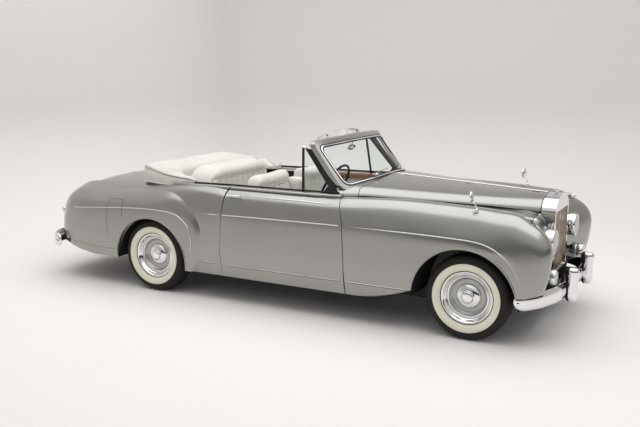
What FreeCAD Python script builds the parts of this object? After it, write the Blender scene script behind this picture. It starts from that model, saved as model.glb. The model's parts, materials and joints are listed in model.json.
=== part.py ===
"""A 1950s two-door convertible car with its hood folded, built panel by panel, in millimetres.

+X points forward, +Y to the left and +Z up. The origin is on the ground, in the middle of
the car's length and width.
"""
import FreeCAD, Part
import math
import os
from FreeCAD import Vector

# Overall sizes
overall_length = 5375.0
wheelbase = 3124.0
front_overhang = 773.0
half_width = 908.0
crest_height = 1080.0
front_track = 1473.0
rear_track = 1524.0

# Wheels and tyres
tyre_radius = 350.0
tyre_width = 215.0
rim_radius = 203.0
rim_width = 150.0
disc_thickness = 6.0
trim_ring_radius = 218.0
hub_cap_radius = 104.0
hub_cap_height = 52.0
hub_boss_radius = 47.0
axle_radius = 30.0
hub_radius = 62.0
running_clearance = 0.05
kingpin_inset = 90.0
kingpin_radius = 16.0
kingpin_length = 260.0
brake_drum_radius = 130.0
brake_drum_width = 60.0

# Panels
panel_thickness = 14.0
shut_gap = 6.0
hinge_set_ahead = 36.0
hinge_set_in = 22.0
hinge_pin_radius = 5.0
hinge_arm_height = 24.0
hinge_knuckle_length = 30.0
hinge_gap = 0.6
sill_height = 250.0
door_thickness = 120.0
rail_height = 34.0
rail_width = 60.0
rail_points = 12
seat_gap = 0.3
door_depth = 420.0
jamb_slant = 20.0
front_arch_radius = 435.0
front_arch_height = 320.0
front_arch_offset = -17.0
rear_arch_radius = 418.0
rear_arch_height = 300.0
rear_arch_offset = -8.0
well_margin = 14.0
centre_strip_width = 24.0
bonnet_thickness = 12.0
scuttle_thickness = 24.0
lid_half_width = 485.0
lid_corner = 90.0

# Windscreen
glass_thickness = 6.0
trim_width = 20.0
trim_depth = 22.0
pillar_width = 34.0
pillar_depth = 54.0
screen_corner = 50.0

# Radiator, lamps and bumpers
shell_depth = 116.0
shell_wall = 28.0
grille_corner = 16.0
cap_radius = 24.0
cap_height = 20.0
slat_width = 7.0
slat_depth = 22.0
slat_pitch = 19.0
headlamp_radius = 100.0
headlamp_length = 120.0
fog_lamp_radius = 62.0
fog_lamp_length = 60.0
side_lamp_radius = 25.0
bumper_height = 138.0
bumper_rings = 14
bumper_thickness = 26.0
rear_bumper_thickness = 16.0
overrider_width = 84.0
overrider_height = 282.0
overrider_depth = 120.0
rear_overrider_depth = 66.0
iron_height = 40.0

lamp_rim = 8.0
tail_lamp_radius = 42.0
mirror_radius = 48.0
mirror_depth = 24.0
mirror_stem_radius = 6.0
iron_width = 60.0
handle_radius = 9.0
handle_reach = 60.0
quarter_bar_radius = 9.0

# Wheels' inner parts
rim_lip = 8.0
rim_well_depth = 26.0
disc_reach = 22.0
hub_reach = 45.0
drum_gap = 12.0
axle_reach = 36.0
steering_arm_length = 150.0
lower_arm_spread = 170.0
upper_arm_spread = 110.0
arm_thickness = 24.0
tower_thickness = 20.0
coil_radius = 42.0
coil_y = 530.0
shelf_drop = 36.0
axle_tube_radius = 42.0
differential_radius = 140.0
spring_y = 452.0
spring_width = 60.0
spring_thickness = 38.0
spring_half_length = 620.0
spring_eye_rise = 6.0
spring_seat = 4.0
spring_hanger = 30.0

# Chassis, engine and cabin
rail_kick_height = 250.0
tow_hole_radius = 6.5
tow_hole_spacing = 300.0
kick_half_length = 210.0
outrigger_height = 50.0
sill_width = 70.0
sill_rise = 60.0
exhaust_y = 240.0
exhaust_height = 236.0
seat_round = 40.0
seat_lean = 12.0
seat_depth = 150.0
seat_corner = 120.0
rear_seat_corner = 235.0
frame_rail_width = 75.0
frame_rail_height = 140.0
frame_rail_y = 372.0
floor_height = 320.0
floor_thickness = 20.0
engine_length = 760.0
engine_width = 420.0
engine_height = 500.0
exhaust_radius = 22.0
silencer_radius = 55.0
steering_wheel_radius = 215.0
steering_rim_radius = 11.0
steering_lean = 27.0
column_radius = 22.0

# Lines worked out from the sizes above
half_length = overall_length / 2
front_axle_x = half_length - front_overhang
rear_axle_x = front_axle_x - wheelbase
middle_x = (front_axle_x + rear_axle_x) / 2
rear_overhang = overall_length - front_overhang - wheelbase

# The tables of shares below give x, y and z. From the middle of the wheelbase, base_share
# is an axle, and the overhang shares then lead on to the tips of the bumpers. width_share
# is the half width, and crest_share the top of the front wings.
base_share = 1.562
front_share = 0.773
rear_share = 1.478
width_share = 0.908
crest_share = 1.08


def along(share):
    """The x of a share, which follows the wheelbase or, past an axle, the overhang."""
    if share > base_share:
        return front_axle_x + (share - base_share) / front_share * front_overhang
    if share < -base_share:
        return rear_axle_x + (share + base_share) / rear_share * rear_overhang
    return middle_x + share / base_share * wheelbase / 2


def across(share):
    """The y of a share of the half width."""
    return share / width_share * half_width


def up(share):
    """The z of a share of the height of the front wings."""
    return share / crest_share * crest_height


def spot(x_share, y_share, z_share):
    """A point from its three shares."""
    return Vector(along(x_share), across(y_share), up(z_share))


def mirrored(shape):
    """The same shape on the other side of the car."""
    return shape.mirror(Vector(0, 0, 0), Vector(0, 1, 0))


def moved(shape, x=0, y=0, z=0):
    """A copy of a shape, shifted."""
    copy = shape.copy()
    copy.translate(Vector(x, y, z))
    return copy


def box(x0, x1, y0, y1, z0, z1):
    """A block between two corners."""
    return Part.makeBox(x1 - x0, y1 - y0, z1 - z0, Vector(x0, y0, z0))


def rod(start, end, radius):
    """A round bar from one point to another."""
    way = end - start
    return Part.makeCylinder(radius, way.Length, start, way)


def prism(points, way):
    """A flat outline with straight sides, pushed along a vector."""
    return Part.Face(Part.makePolygon(points + points[:1])).extrude(way)


def side_prism(points, y0, y1):
    """An outline of (x, z) shares, pushed along Y between two places."""
    corners = [Vector(along(x), y0, up(z)) for x, z in points]
    return prism(corners, Vector(0, y1 - y0, 0))


def smooth_edge(points):
    """One smooth curve through points."""
    curve = Part.BSplineCurve()
    curve.interpolate(Points=points)
    return curve.toShape()


def smooth_face(rows, rungs, steps):
    """One smooth surface through rows of points, at given parameters along and across."""
    curves = []
    for row in rows:
        curve = Part.BSplineCurve()
        curve.interpolate(Points=row, Parameters=steps)
        curves.append(curve)
    lines = []
    for poles in zip(*[curve.getPoles() for curve in curves]):
        line = Part.BSplineCurve()
        line.interpolate(Points=list(poles), Parameters=rungs)
        lines.append(line)
    grid = [list(row) for row in zip(*[line.getPoles() for line in lines])]
    first, across_it = lines[0], curves[0]
    surface = Part.BSplineSurface()
    surface.buildFromPolesMultsKnots(
        grid, first.getMultiplicities(), across_it.getMultiplicities(),
        first.getKnots(), across_it.getKnots(), False, False, first.Degree, across_it.Degree)
    return surface.toShape()


def spaced(rows, index):
    """Parameters that follow the distances along one line of points."""
    total, steps = 0.0, [0.0]
    for before, after in zip(rows, rows[1:]):
        total += (after[index] - before[index]).Length
        steps.append(total)
    return [step / total for step in steps]


def column_steps(row):
    """Parameters that follow the distances along one row."""
    return spaced([[point] for point in row], 0)


def face_through(rows, guide_row, guide_column):
    """A smooth surface whose parameters follow one row and one column of its points."""
    return smooth_face(rows, spaced(rows, guide_column), column_steps(rows[guide_row]))


# The side of the car, as (y, z) shares from the top's inner edge down to the sill
side_shares = {
    -1.35: [(0.60, 1.040), (0.66, 1.045), (0.71, 1.044), (0.75, 1.036), (0.787, 1.012), (0.82, 0.963),
            (0.847, 0.90), (0.866, 0.825), (0.876, 0.70), (0.878, 0.54), (0.870, 0.38), (0.842, 0.24)],
    -0.75: [(0.60, 1.045), (0.66, 1.050), (0.715, 1.050), (0.757, 1.042), (0.797, 1.016), (0.833, 0.966),
            (0.861, 0.90), (0.880, 0.828), (0.887, 0.70), (0.889, 0.54), (0.880, 0.38), (0.852, 0.24)],
    -0.20: [(0.60, 1.045), (0.66, 1.050), (0.715, 1.050), (0.758, 1.042), (0.799, 1.017), (0.836, 0.968),
            (0.864, 0.90), (0.882, 0.833), (0.889, 0.70), (0.891, 0.54), (0.882, 0.38), (0.854, 0.24)],
    0.45: [(0.60, 1.048), (0.66, 1.056), (0.715, 1.059), (0.760, 1.051), (0.800, 1.024), (0.838, 0.974),
           (0.865, 0.905), (0.883, 0.839), (0.889, 0.70), (0.891, 0.54), (0.882, 0.38), (0.854, 0.24)],
    0.90: [(0.53, 1.050), (0.61, 1.064), (0.67, 1.077), (0.735, 1.074), (0.792, 1.044), (0.834, 0.985),
           (0.863, 0.91), (0.882, 0.838), (0.888, 0.70), (0.890, 0.54), (0.884, 0.40), (0.868, 0.30)],
    1.34: [(0.43, 1.036), (0.54, 1.045), (0.63, 1.066), (0.71, 1.071), (0.777, 1.045), (0.828, 0.985),
           (0.860, 0.91), (0.881, 0.835), (0.888, 0.73), (0.890, 0.63), (0.890, 0.53), (0.888, 0.45)],
    1.65: [(0.355, 1.020), (0.48, 1.022), (0.59, 1.047), (0.69, 1.059), (0.767, 1.037), (0.823, 0.978),
           (0.858, 0.90), (0.881, 0.821), (0.888, 0.73), (0.890, 0.66), (0.890, 0.59), (0.889, 0.53)],
}

# The front of a wing, as (y, reach) shares on planes that fan out from a line across the
# car inside the wheel arch, each at its own angle above straight ahead
nose_line_share = (1.80, 0.56)
nose_shares = {
    90: [(0.31, 0.451), (0.44, 0.451), (0.57, 0.474), (0.68, 0.488), (0.763, 0.468), (0.822, 0.410),
         (0.858, 0.330), (0.881, 0.235), (0.888, 0.17), (0.890, 0.11), (0.890, 0.06), (0.890, 0.015)],
    75: [(0.27, 0.456), (0.40, 0.451), (0.55, 0.470), (0.68, 0.490), (0.767, 0.474), (0.826, 0.418),
         (0.861, 0.338), (0.882, 0.238), (0.888, 0.17), (0.890, 0.11), (0.890, 0.06), (0.890, 0.015)],
    60: [(0.250, 0.438), (0.385, 0.430), (0.53, 0.452), (0.67, 0.478), (0.770, 0.474), (0.830, 0.425),
         (0.865, 0.345), (0.884, 0.24), (0.889, 0.17), (0.890, 0.11), (0.890, 0.06), (0.890, 0.015)],
    45: [(0.250, 0.362), (0.38, 0.372), (0.52, 0.420), (0.67, 0.472), (0.772, 0.486), (0.834, 0.440),
         (0.867, 0.356), (0.885, 0.245), (0.889, 0.17), (0.890, 0.11), (0.890, 0.06), (0.890, 0.015)],
    30: [(0.250, 0.308), (0.38, 0.325), (0.52, 0.378), (0.67, 0.442), (0.772, 0.465), (0.834, 0.428),
         (0.867, 0.350), (0.885, 0.243), (0.889, 0.17), (0.890, 0.11), (0.890, 0.06), (0.890, 0.015)],
    15: [(0.250, 0.280), (0.38, 0.295), (0.52, 0.338), (0.67, 0.392), (0.772, 0.413), (0.834, 0.384),
         (0.867, 0.322), (0.885, 0.230), (0.889, 0.165), (0.890, 0.11), (0.890, 0.06), (0.890, 0.015)],
    0: [(0.250, 0.262), (0.38, 0.278), (0.52, 0.318), (0.67, 0.365), (0.772, 0.384), (0.834, 0.358),
        (0.867, 0.302), (0.885, 0.220), (0.889, 0.160), (0.890, 0.11), (0.890, 0.06), (0.890, 0.015)],
    -18: [(0.250, 0.250), (0.38, 0.266), (0.52, 0.308), (0.67, 0.350), (0.772, 0.366), (0.834, 0.342),
          (0.867, 0.292), (0.884, 0.215), (0.889, 0.155), (0.890, 0.11), (0.890, 0.06), (0.890, 0.015)],
    -40: [(0.250, 0.250), (0.38, 0.266), (0.52, 0.308), (0.67, 0.350), (0.772, 0.366), (0.834, 0.342),
          (0.867, 0.292), (0.884, 0.215), (0.889, 0.155), (0.890, 0.11), (0.890, 0.06), (0.890, 0.015)],
    -62: [(0.250, 0.270), (0.38, 0.286), (0.52, 0.318), (0.67, 0.350), (0.770, 0.360), (0.832, 0.336),
          (0.865, 0.286), (0.882, 0.212), (0.887, 0.155), (0.889, 0.11), (0.890, 0.06), (0.890, 0.015)],
}

# The deck and tail, as (y, z) shares from the centre line out to the foot of the side
tail_shares = {
    -1.35: [(0, 1.075), (0.2, 1.073), (0.4, 1.062), (0.52, 1.050)] + side_shares[-1.35],
    -0.75: [(0, 1.080), (0.2, 1.078), (0.4, 1.067), (0.52, 1.055)] + side_shares[-0.75],
    -1.90: [(0, 1.072), (0.2, 1.068), (0.4, 1.050), (0.52, 1.032), (0.60, 1.015), (0.66, 0.998),
            (0.71, 0.972), (0.75, 0.940), (0.785, 0.895), (0.815, 0.84), (0.84, 0.78), (0.855, 0.71),
            (0.862, 0.62), (0.862, 0.52), (0.855, 0.40), (0.835, 0.28)],
    -2.40: [(0, 1.024), (0.2, 1.018), (0.4, 0.992), (0.52, 0.962), (0.60, 0.932), (0.66, 0.900),
            (0.71, 0.862), (0.75, 0.822), (0.785, 0.775), (0.81, 0.72), (0.83, 0.665), (0.842, 0.61),
            (0.848, 0.55), (0.848, 0.48), (0.84, 0.40), (0.82, 0.31)],
    -2.65: [(0, 0.975), (0.2, 0.968), (0.39, 0.940), (0.50, 0.908), (0.575, 0.876), (0.635, 0.843),
            (0.68, 0.806), (0.72, 0.766), (0.75, 0.722), (0.772, 0.675), (0.788, 0.628), (0.798, 0.58),
            (0.80, 0.53), (0.80, 0.47), (0.79, 0.41), (0.775, 0.34)],
    -2.80: [(0, 0.927), (0.18, 0.920), (0.36, 0.892), (0.46, 0.862), (0.53, 0.830), (0.585, 0.797),
            (0.63, 0.760), (0.665, 0.722), (0.695, 0.682), (0.717, 0.64), (0.732, 0.60), (0.74, 0.56),
            (0.743, 0.515), (0.742, 0.47), (0.735, 0.42), (0.72, 0.365)],
    -2.90: [(0, 0.862), (0.16, 0.856), (0.31, 0.832), (0.40, 0.806), (0.46, 0.778), (0.51, 0.748),
            (0.55, 0.716), (0.585, 0.682), (0.61, 0.65), (0.63, 0.617), (0.643, 0.585), (0.65, 0.55),
            (0.652, 0.515), (0.650, 0.48), (0.643, 0.44), (0.63, 0.39)],
    -2.948: [(0, 0.775), (0.13, 0.771), (0.25, 0.752), (0.32, 0.732), (0.37, 0.710), (0.41, 0.688),
            (0.445, 0.664), (0.47, 0.64), (0.49, 0.615), (0.507, 0.59), (0.517, 0.565), (0.523, 0.54),
            (0.525, 0.515), (0.523, 0.487), (0.517, 0.455), (0.508, 0.415)],
}

# The tail closes in on its middle: x, and how much narrower and lower it has become
tail_cap_shares = [(-2.966, 0.64, 0.80), (-2.974, 0.06, 0.60)]

# A rear wing, as (reach, y) shares on planes that fan out from the rear arch's centre, each
# at its own angle above straight ahead
haunch_shares = {
    -14: [(0.53, 0.78), (0.495, 0.848), (0.475, 0.876), (0.462, 0.889), (0.45, 0.896), (0.44, 0.899),
          (0.43, 0.90), (0.415, 0.90), (0.36, 0.90)],
    8: [(0.625, 0.79), (0.59, 0.857), (0.56, 0.884), (0.53, 0.896), (0.50, 0.902), (0.475, 0.904),
        (0.45, 0.905), (0.415, 0.905), (0.36, 0.905)],
    21: [(0.715, 0.78), (0.675, 0.855), (0.64, 0.884), (0.595, 0.897), (0.545, 0.905), (0.50, 0.907),
         (0.46, 0.907), (0.415, 0.907), (0.36, 0.907)],
    32: [(0.79, 0.76), (0.745, 0.845), (0.705, 0.880), (0.655, 0.896), (0.597, 0.905), (0.54, 0.907),
         (0.48, 0.908), (0.415, 0.908), (0.36, 0.908)],
    43: [(0.83, 0.73), (0.78, 0.825), (0.735, 0.870), (0.675, 0.893), (0.600, 0.905), (0.54, 0.907),
         (0.48, 0.908), (0.415, 0.908), (0.36, 0.908)],
    56: [(0.84, 0.68), (0.79, 0.78), (0.74, 0.843), (0.675, 0.882), (0.590, 0.904), (0.53, 0.907),
         (0.475, 0.908), (0.415, 0.908), (0.36, 0.908)],
    71: [(0.778, 0.65), (0.752, 0.745), (0.713, 0.815), (0.652, 0.866), (0.560, 0.902), (0.51, 0.907),
         (0.465, 0.908), (0.415, 0.908), (0.36, 0.908)],
    90: [(0.722, 0.61), (0.706, 0.705), (0.675, 0.785), (0.615, 0.848), (0.524, 0.900), (0.48, 0.906),
         (0.45, 0.908), (0.415, 0.908), (0.36, 0.908)],
    115: [(0.775, 0.58), (0.752, 0.68), (0.716, 0.77), (0.657, 0.84), (0.562, 0.896), (0.51, 0.904),
          (0.46, 0.908), (0.415, 0.908), (0.36, 0.908)],
    135: [(0.955, 0.56), (0.91, 0.66), (0.86, 0.755), (0.80, 0.828), (0.695, 0.888), (0.61, 0.901),
          (0.51, 0.907), (0.415, 0.908), (0.36, 0.908)],
    148: [(1.25, 0.52), (1.20, 0.63), (1.14, 0.728), (1.06, 0.806), (0.92, 0.876), (0.77, 0.898),
          (0.60, 0.906), (0.415, 0.907), (0.36, 0.907)],
    157: [(1.39, 0.50), (1.36, 0.61), (1.31, 0.718), (1.22, 0.806), (1.05, 0.875), (0.85, 0.898),
          (0.62, 0.904), (0.415, 0.906), (0.36, 0.906)],
    167: [(1.41, 0.48), (1.38, 0.595), (1.33, 0.706), (1.24, 0.800), (1.07, 0.870), (0.87, 0.893),
          (0.63, 0.902), (0.415, 0.903), (0.36, 0.903)],
    177: [(1.405, 0.46), (1.37, 0.58), (1.32, 0.69), (1.23, 0.785), (1.06, 0.856), (0.87, 0.880),
          (0.63, 0.890), (0.415, 0.892), (0.36, 0.892)],
    188: [(1.385, 0.44), (1.35, 0.56), (1.30, 0.67), (1.21, 0.763), (1.05, 0.832), (0.86, 0.858),
          (0.63, 0.872), (0.415, 0.876), (0.36, 0.876)],
}

# The crown of the bonnet and scuttle: x, half width, height of the edge, height of the ridge
crown_shares = [
    (0.22, 0.725, 1.052, 1.206), (0.38, 0.692, 1.060, 1.200), (0.56, 0.638, 1.067, 1.193),
    (0.90, 0.562, 1.060, 1.175), (1.24, 0.482, 1.048, 1.157), (1.60, 0.386, 1.030, 1.138),
    (1.85, 0.302, 1.008, 1.125), (2.02, 0.244, 0.988, 1.116)]
crown_across_shares = [0, 0.08, 0.30, 0.55, 0.74, 0.87, 0.95, 1.0]
crown_rear_rise_shares = [1.0, 0.99, 0.92, 0.79, 0.66, 0.52, 0.33, 0]
crown_front_rise_shares = [1.0, 0.965, 0.90, 0.78, 0.64, 0.47, 0.27, 0]

skin_way = Vector(-0.35, -0.7, -0.62)
deck_way = Vector(0.35, -0.55, -0.76)
haunch_way = Vector(0.25, -0.92, -0.30)


def side_rows():
    """Rows of points down the left side, from ahead of the tail to the foot of the nose."""
    rows = []
    for station in sorted(side_shares):
        rows.append([spot(station, y, z) for y, z in side_shares[station]])
    line_x, line_z = nose_line_share
    for angle in sorted(nose_shares, reverse=True):
        ahead, above = math.cos(math.radians(angle)), math.sin(math.radians(angle))
        rows.append([spot(line_x + reach * ahead, y, line_z + reach * above)
                     for y, reach in nose_shares[angle]])
    return rows


def tail_rows():
    """Rows of points over the deck and down the left side, from the doors to the tail."""
    rows = [[spot(station, y, z) for y, z in tail_shares[station]]
            for station in sorted(tail_shares, reverse=True)]
    last = tail_shares[min(tail_shares)]
    foot = last[-1][1]
    for station, narrow, lower in tail_cap_shares:
        rows.append([spot(station, y * narrow, foot + (z - foot) * lower) for y, z in last])
    return rows


def haunch_rows():
    """Rows of points over the left rear wing, fanned out from the centre of its arch."""
    rows = []
    centre_x = rear_axle_x + rear_arch_offset
    for angle in sorted(haunch_shares):
        ahead, above = math.cos(math.radians(angle)), math.sin(math.radians(angle))
        row = []
        for reach, y in haunch_shares[angle]:
            x_size = rear_overhang / rear_share if ahead < 0 else wheelbase / 2 / base_share
            z_size = crest_height / crest_share
            row.append(Vector(centre_x + reach * ahead * x_size, across(y),
                              rear_arch_height + reach * above * z_size))
        rows.append(row)
    return rows


def crown_face(inset):
    """The top of the bonnet and scuttle from its ridge to its left edge, or a level below it."""
    rows = []
    first, last = crown_shares[0][0], crown_shares[-1][0]
    for x, half, edge, ridge in crown_shares:
        part = (x - first) / (last - first)
        row = []
        for place, rear, front in zip(crown_across_shares, crown_rear_rise_shares,
                                      crown_front_rise_shares):
            rise = rear + (front - rear) * part
            point = spot(x, half * place, edge + (ridge - edge) * rise)
            row.append(Vector(point.x, point.y * (1 - inset / across(half)), point.z - inset))
        rows.append(row)
    return face_through(rows, 4, 0)


def crown_edge_y(x):
    """The half width of the crown, in millimetres, at an x."""
    stations = [(along(row[0]), across(row[1])) for row in crown_shares]
    for (x0, y0), (x1, y1) in zip(stations, stations[1:]):
        if x <= x1:
            return y0 + (y1 - y0) * (x - x0) / (x1 - x0)
    return stations[-1][1]


side_face = face_through(side_rows(), 4, 3)
tail_face = face_through(tail_rows(), 2, 7)
haunch_face = face_through(haunch_rows(), 7, 4)

far = overall_length

# Shut lines, edges and outlines, as shares of the places that they give
door_front_shares = [(0.398, 1.16), (0.414, 1.045), (0.455, 0.94), (0.482, 0.85), (0.494, 0.64),
                     (0.505, 0.38), (0.514, 0.20)]
door_rear_shares = [(-0.734, 1.16), (-0.735, 1.00), (-0.750, 0.80), (-0.766, 0.50), (-0.760, 0.35),
                    (-0.750, 0.20)]
door_inner_shares = [(0.690, 1.20), (0.690, 0.98), (0.745, 0.86), (0.757, 0.60), (0.750, 0.20)]
wing_foot_shares = [(1.90, 0.385), (1.96, 0.395), (2.13, 0.455), (2.20, 0.495), (2.40, 0.60)]
tail_foot_shares = [(-1.90, 0.290), (-2.05, 0.293), (-2.30, 0.291), (-2.50, 0.318), (-2.70, 0.370),
                    (-3.10, 0.44)]
haunch_foot_shares = [(-1.40, 0.262), (-0.80, 0.252)]
cabin_shares = [(-0.60, 0.66), (-0.95, 0.655), (-1.25, 0.64), (-1.50, 0.60), (-1.68, 0.50),
                (-1.77, 0.28), (-1.79, 0.0)]
bonnet_rear_shares = [(0.590, 0.0), (0.575, 0.30), (0.545, 0.50), (0.515, 0.60), (0.530, 0.66),
                      (0.60, 0.70)]
scuttle_rear_shares = [(0.525, 0.0), (0.495, 0.30), (0.385, 0.55), (0.320, 0.64), (0.300, 0.72)]
rail_shares = [(-1.30, 0.708, 1.046), (-0.75, 0.726, 1.056), (-0.20, 0.728, 1.057),
               (0.25, 0.728, 1.062), (0.55, 0.705, 1.070)]
shell_back_share = 1.984
shell_half_share = 0.25
shell_outline_shares = [(0, 1.118), (0.10, 1.104), (0.175, 1.078), (0.222, 1.043), (0.246, 0.985)]
grille_top_share = 0.988
shell_foot_share = 0.445
centre_slat_share = 1.8
lid_front_share = -2.42
lid_foot_share = 0.60
lid_hinge_share = 1.018
screen_level_shares = [(0.0, 1.08), (0.5, 1.305), (1.0, 1.53)]
screen_line_shares = [(0.700, 0.155, 0), (0.652, 0.145, 0.30), (0.505, 0.115, 0.55),
                      (0.345, 0.070, 0.74)]
screen_half_low_share = 0.640
screen_half_high_share = 0.652
screen_low_share = 1.140
screen_low_middle_share = 1.188
screen_high_share = 1.480
screen_high_middle_share = 1.496
quarter_shares = [(0.014, 0.706, 1.06), (0.325, 0.706, 1.06), (0.005, 0.644, 1.455), (-0.018, 0.644, 1.455)]

sill_inner_share = 0.665
bulkhead_share = 0.570
bulkhead_top_share = 1.16
door_hinge_low_share = 0.42
door_hinge_high_share = 0.74

# A door's hinge arm seen from above, from its pin, as shares of how far the pin is set ahead
hinge_arm_shares = [(-2.083, -2.333), (-0.167, -2.333), (0.278, -0.556), (0.194, 0.111), (0, 0.222),
                    (-0.167, 0.111), (-0.111, -0.667), (-0.556, -1.833), (-2.083, -1.833)]
lid_hinge_y_share = 0.115
bonnet_hinge_shares = [0.10, 0.50, 0.90]
seat_pan_share = -1.14
boot_floor_share = 0.62
bumper_middle_share = 0.385
front_bumper_shares = [(2.235, 0), (2.228, 0.25), (2.190, 0.50), (2.110, 0.70), (2.030, 0.80),
                       (1.950, 0.845)]
rear_bumper_shares = [(-2.998, 0), (-2.996, 0.25), (-2.983, 0.50), (-2.938, 0.68), (-2.868, 0.79),
                      (-2.765, 0.848)]
wing_gap_start_share = 0.508
overrider_share = 0.315
overrider_foot_share = 0.290
overrider_shares = [(0, 0.45, 0.40), (0.03, 0.80, 0.66), (0.12, 1.0, 0.84), (0.30, 0.96, 0.90),
                    (0.55, 0.84, 0.88), (0.72, 0.82, 0.86), (0.84, 0.96, 0.93), (0.92, 0.94, 0.91),
                    (0.975, 0.70, 0.72), (1.0, 0.30, 0.30)]
tail_lamp_share = (-2.895, 0.68, 0.66)

side_lamp_shares = [(2.046, 0.683, 0.990), (1.80, 0.683, 1.024)]

# Round lamps, as shares of the radius and of the depth behind the face, or of the radius alone
lamp_back_shares = [(0, 1), (0.42, 1), (0.66, 0.92), (0.84, 0.76), (0.95, 0.52), (1.0, 0.25)]
side_lamp_profile = [(0, -9.6), (0.30, -9.6), (0.48, -8.0), (0.68, -6.0), (0.86, -3.6), (0.98, -1.2),
                     (1.0, 0.1), (0.94, 0.3), (0.80, 0.3), (0.80, 0), (0, 0)]
side_lens_profile = [(0, 0.01), (0.79, 0.01), (0.79, 0.3), (0.62, 0.62), (0.34, 0.84), (0, 0.92)]
front_seat_shares = [(-0.475, 1.170), (-0.320, 1.180)]
seat_bend_share = 0.40

# The folded hood: x and y of its outer edge, x and y of its inner edge, the heights of its
# foot, its outer top and its inner top, and one ring as shares inward and upward
hood_middle_shares = [(-1.868, -0.15, -1.425, -0.15, 1.030, 1.193, 1.186),
                      (-1.868, 0.15, -1.425, 0.15, 1.030, 1.193, 1.186),
                      (-1.864, 0.40, -1.425, 0.33, 1.020, 1.194, 1.184),
                      (-1.850, 0.56, -1.422, 0.44, 1.000, 1.196, 1.180),
                      (-1.800, 0.645, -1.415, 0.53, 0.990, 1.194, 1.178),
                      (-1.690, 0.690, -1.400, 0.575, 0.990, 1.172, 1.170)]
left_hood_shares = [(-1.500, 0.695, -1.370, 0.595, 0.990, 1.158, 1.158),
                    (-1.320, 0.674, -1.290, 0.598, 0.990, 1.150, 1.145),
                    (-1.040, 0.674, -1.040, 0.600, 0.990, 1.105, 1.100)]
right_hood_shares = [(-1.520, 0.695, -1.370, 0.592, 0.990, 1.130, 1.140),
                     (-1.320, 0.674, -1.290, 0.598, 0.990, 1.106, 1.112),
                     (-1.200, 0.674, -1.200, 0.600, 0.990, 1.088, 1.090)]
hood_ring_shares = [(0, 0), (-0.012, 0.40), (0.0, 0.72), (0.07, 0.93), (0.22, 1.0), (0.5, 1.025), (0.78, 1.0),
                    (0.93, 0.93), (1.0, 0.72), (1.0, 0.40), (1.0, 0), (0.5, -0.03)]

door_way = Vector(0, -0.8, -0.6)


def headlamp_place():
    """The middle of a headlamp's face."""
    return spot(2.114, 0.406, 0.785)


def fog_lamp_place():
    """The middle of a fog lamp's face."""
    return spot(2.172, 0.528, 0.531)


def shifted(points, x):
    """(x, z) shares moved along by a distance, as points in millimetres."""
    return [Vector(along(px) + x, 0, up(pz)) for px, pz in points]


def side_block(front, rear, y0, y1):
    """The space between two shut lines, each a list of points from the top down."""
    outline = [Vector(p.x, y0, p.z) for p in front + rear[::-1]]
    return prism(outline, Vector(0, y1 - y0, 0))


def arch(radius, axle_x, offset, height, y0=0.0, y1=half_width * 2):
    """A cylinder across the car that cuts a wheel arch."""
    start = Vector(axle_x + offset, y0, height)
    return Part.makeCylinder(radius, y1 - y0, start, Vector(0, 1, 0))


def front_arch():
    """The cut of the left front wheel arch."""
    return arch(front_arch_radius, front_axle_x, front_arch_offset, front_arch_height)


def rear_arch(margin=0.0):
    """The cut of the left rear wheel arch."""
    return arch(rear_arch_radius + margin, rear_axle_x, rear_arch_offset, rear_arch_height, across(0.5))


def below(points, low=0.0):
    """The space across the car under a line of (x, z) shares."""
    line = [Vector(along(x), -far, up(z)) for x, z in points]
    ends = [Vector(line[-1].x, -far, low - far), Vector(line[0].x, -far, low - far)]
    return prism(line + ends, Vector(0, far * 2, 0))


def above(points):
    """The space across the car over a line of (x, z) shares."""
    line = [Vector(along(x), -far, up(z)) for x, z in points]
    ends = [Vector(line[-1].x, -far, far), Vector(line[0].x, -far, far)]
    return prism(line + ends, Vector(0, far * 2, 0))


def thick(face, way):
    """A trimmed skin pushed inwards by the panels' thickness."""
    return face.extrude(way * panel_thickness)


def lamp_hole(place, radius):
    """The hole that a lamp's round body needs in a skin."""
    start = place - Vector(radius * 2, 0, 0)
    return rod(start, start + Vector(radius * 6, 0, 0), radius + seat_gap)


def front_wing():
    """The left front wing, from the door to the lamps, with its arch."""
    rear_edge = shifted(door_front_shares, shut_gap / 2)
    ahead = [Vector(half_length, 0, p.z) for p in (rear_edge[0], rear_edge[-1])]
    keep = side_block(rear_edge, ahead, 0, far)
    start = along(wing_gap_start_share)
    stations = [along(row[0]) for row in crown_shares if row[0] < shell_back_share]
    inner_line = []
    for x in sorted(stations + [start, start + seat_gap]):
        gap = shut_gap if x > start else seat_gap
        inner_line.append(Vector(x, crown_edge_y(x) + gap, 0))
    shell_side = across(shell_half_share) + shut_gap
    inner_line.append(Vector(along(shell_back_share) - shut_gap, shell_side, 0))
    inner_line.append(Vector(half_length, shell_side, 0))
    ends = [Vector(half_length, -far, 0), Vector(inner_line[0].x, -far, 0)]
    middle = prism(inner_line + ends, Vector(0, 0, far))
    skin = side_face.cut(front_arch()).cut(below(wing_foot_shares)).cut(middle).common(keep)
    holes = [lamp_hole(headlamp_place(), headlamp_radius), lamp_hole(fog_lamp_place(), fog_lamp_radius)]
    wing = thick(skin, skin_way).common(keep).cut(middle).cut(holes)
    foot_box = box(along(0.3), along(1.3), 0, far, -far, sill_height)
    return wing.cut(foot_box)


def shell_profile(x):
    """The radiator shell's outline seen from the front."""
    crown = [Vector(x, across(y), up(z)) for y, z in shell_outline_shares]
    left = smooth_edge(crown[::-1])
    right = smooth_edge([Vector(p.x, -p.y, p.z) for p in crown])
    foot_z = up(shell_foot_share)
    foot_y = crown[-1].y
    low = [Vector(x, foot_y, foot_z), Vector(x, -foot_y, foot_z)]
    edges = [Part.makeLine(low[0], crown[-1]), left, right,
             Part.makeLine(Vector(x, -foot_y, crown[-1].z), low[1]), Part.makeLine(low[1], low[0])]
    return Part.Face(Part.Wire(edges))


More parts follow.
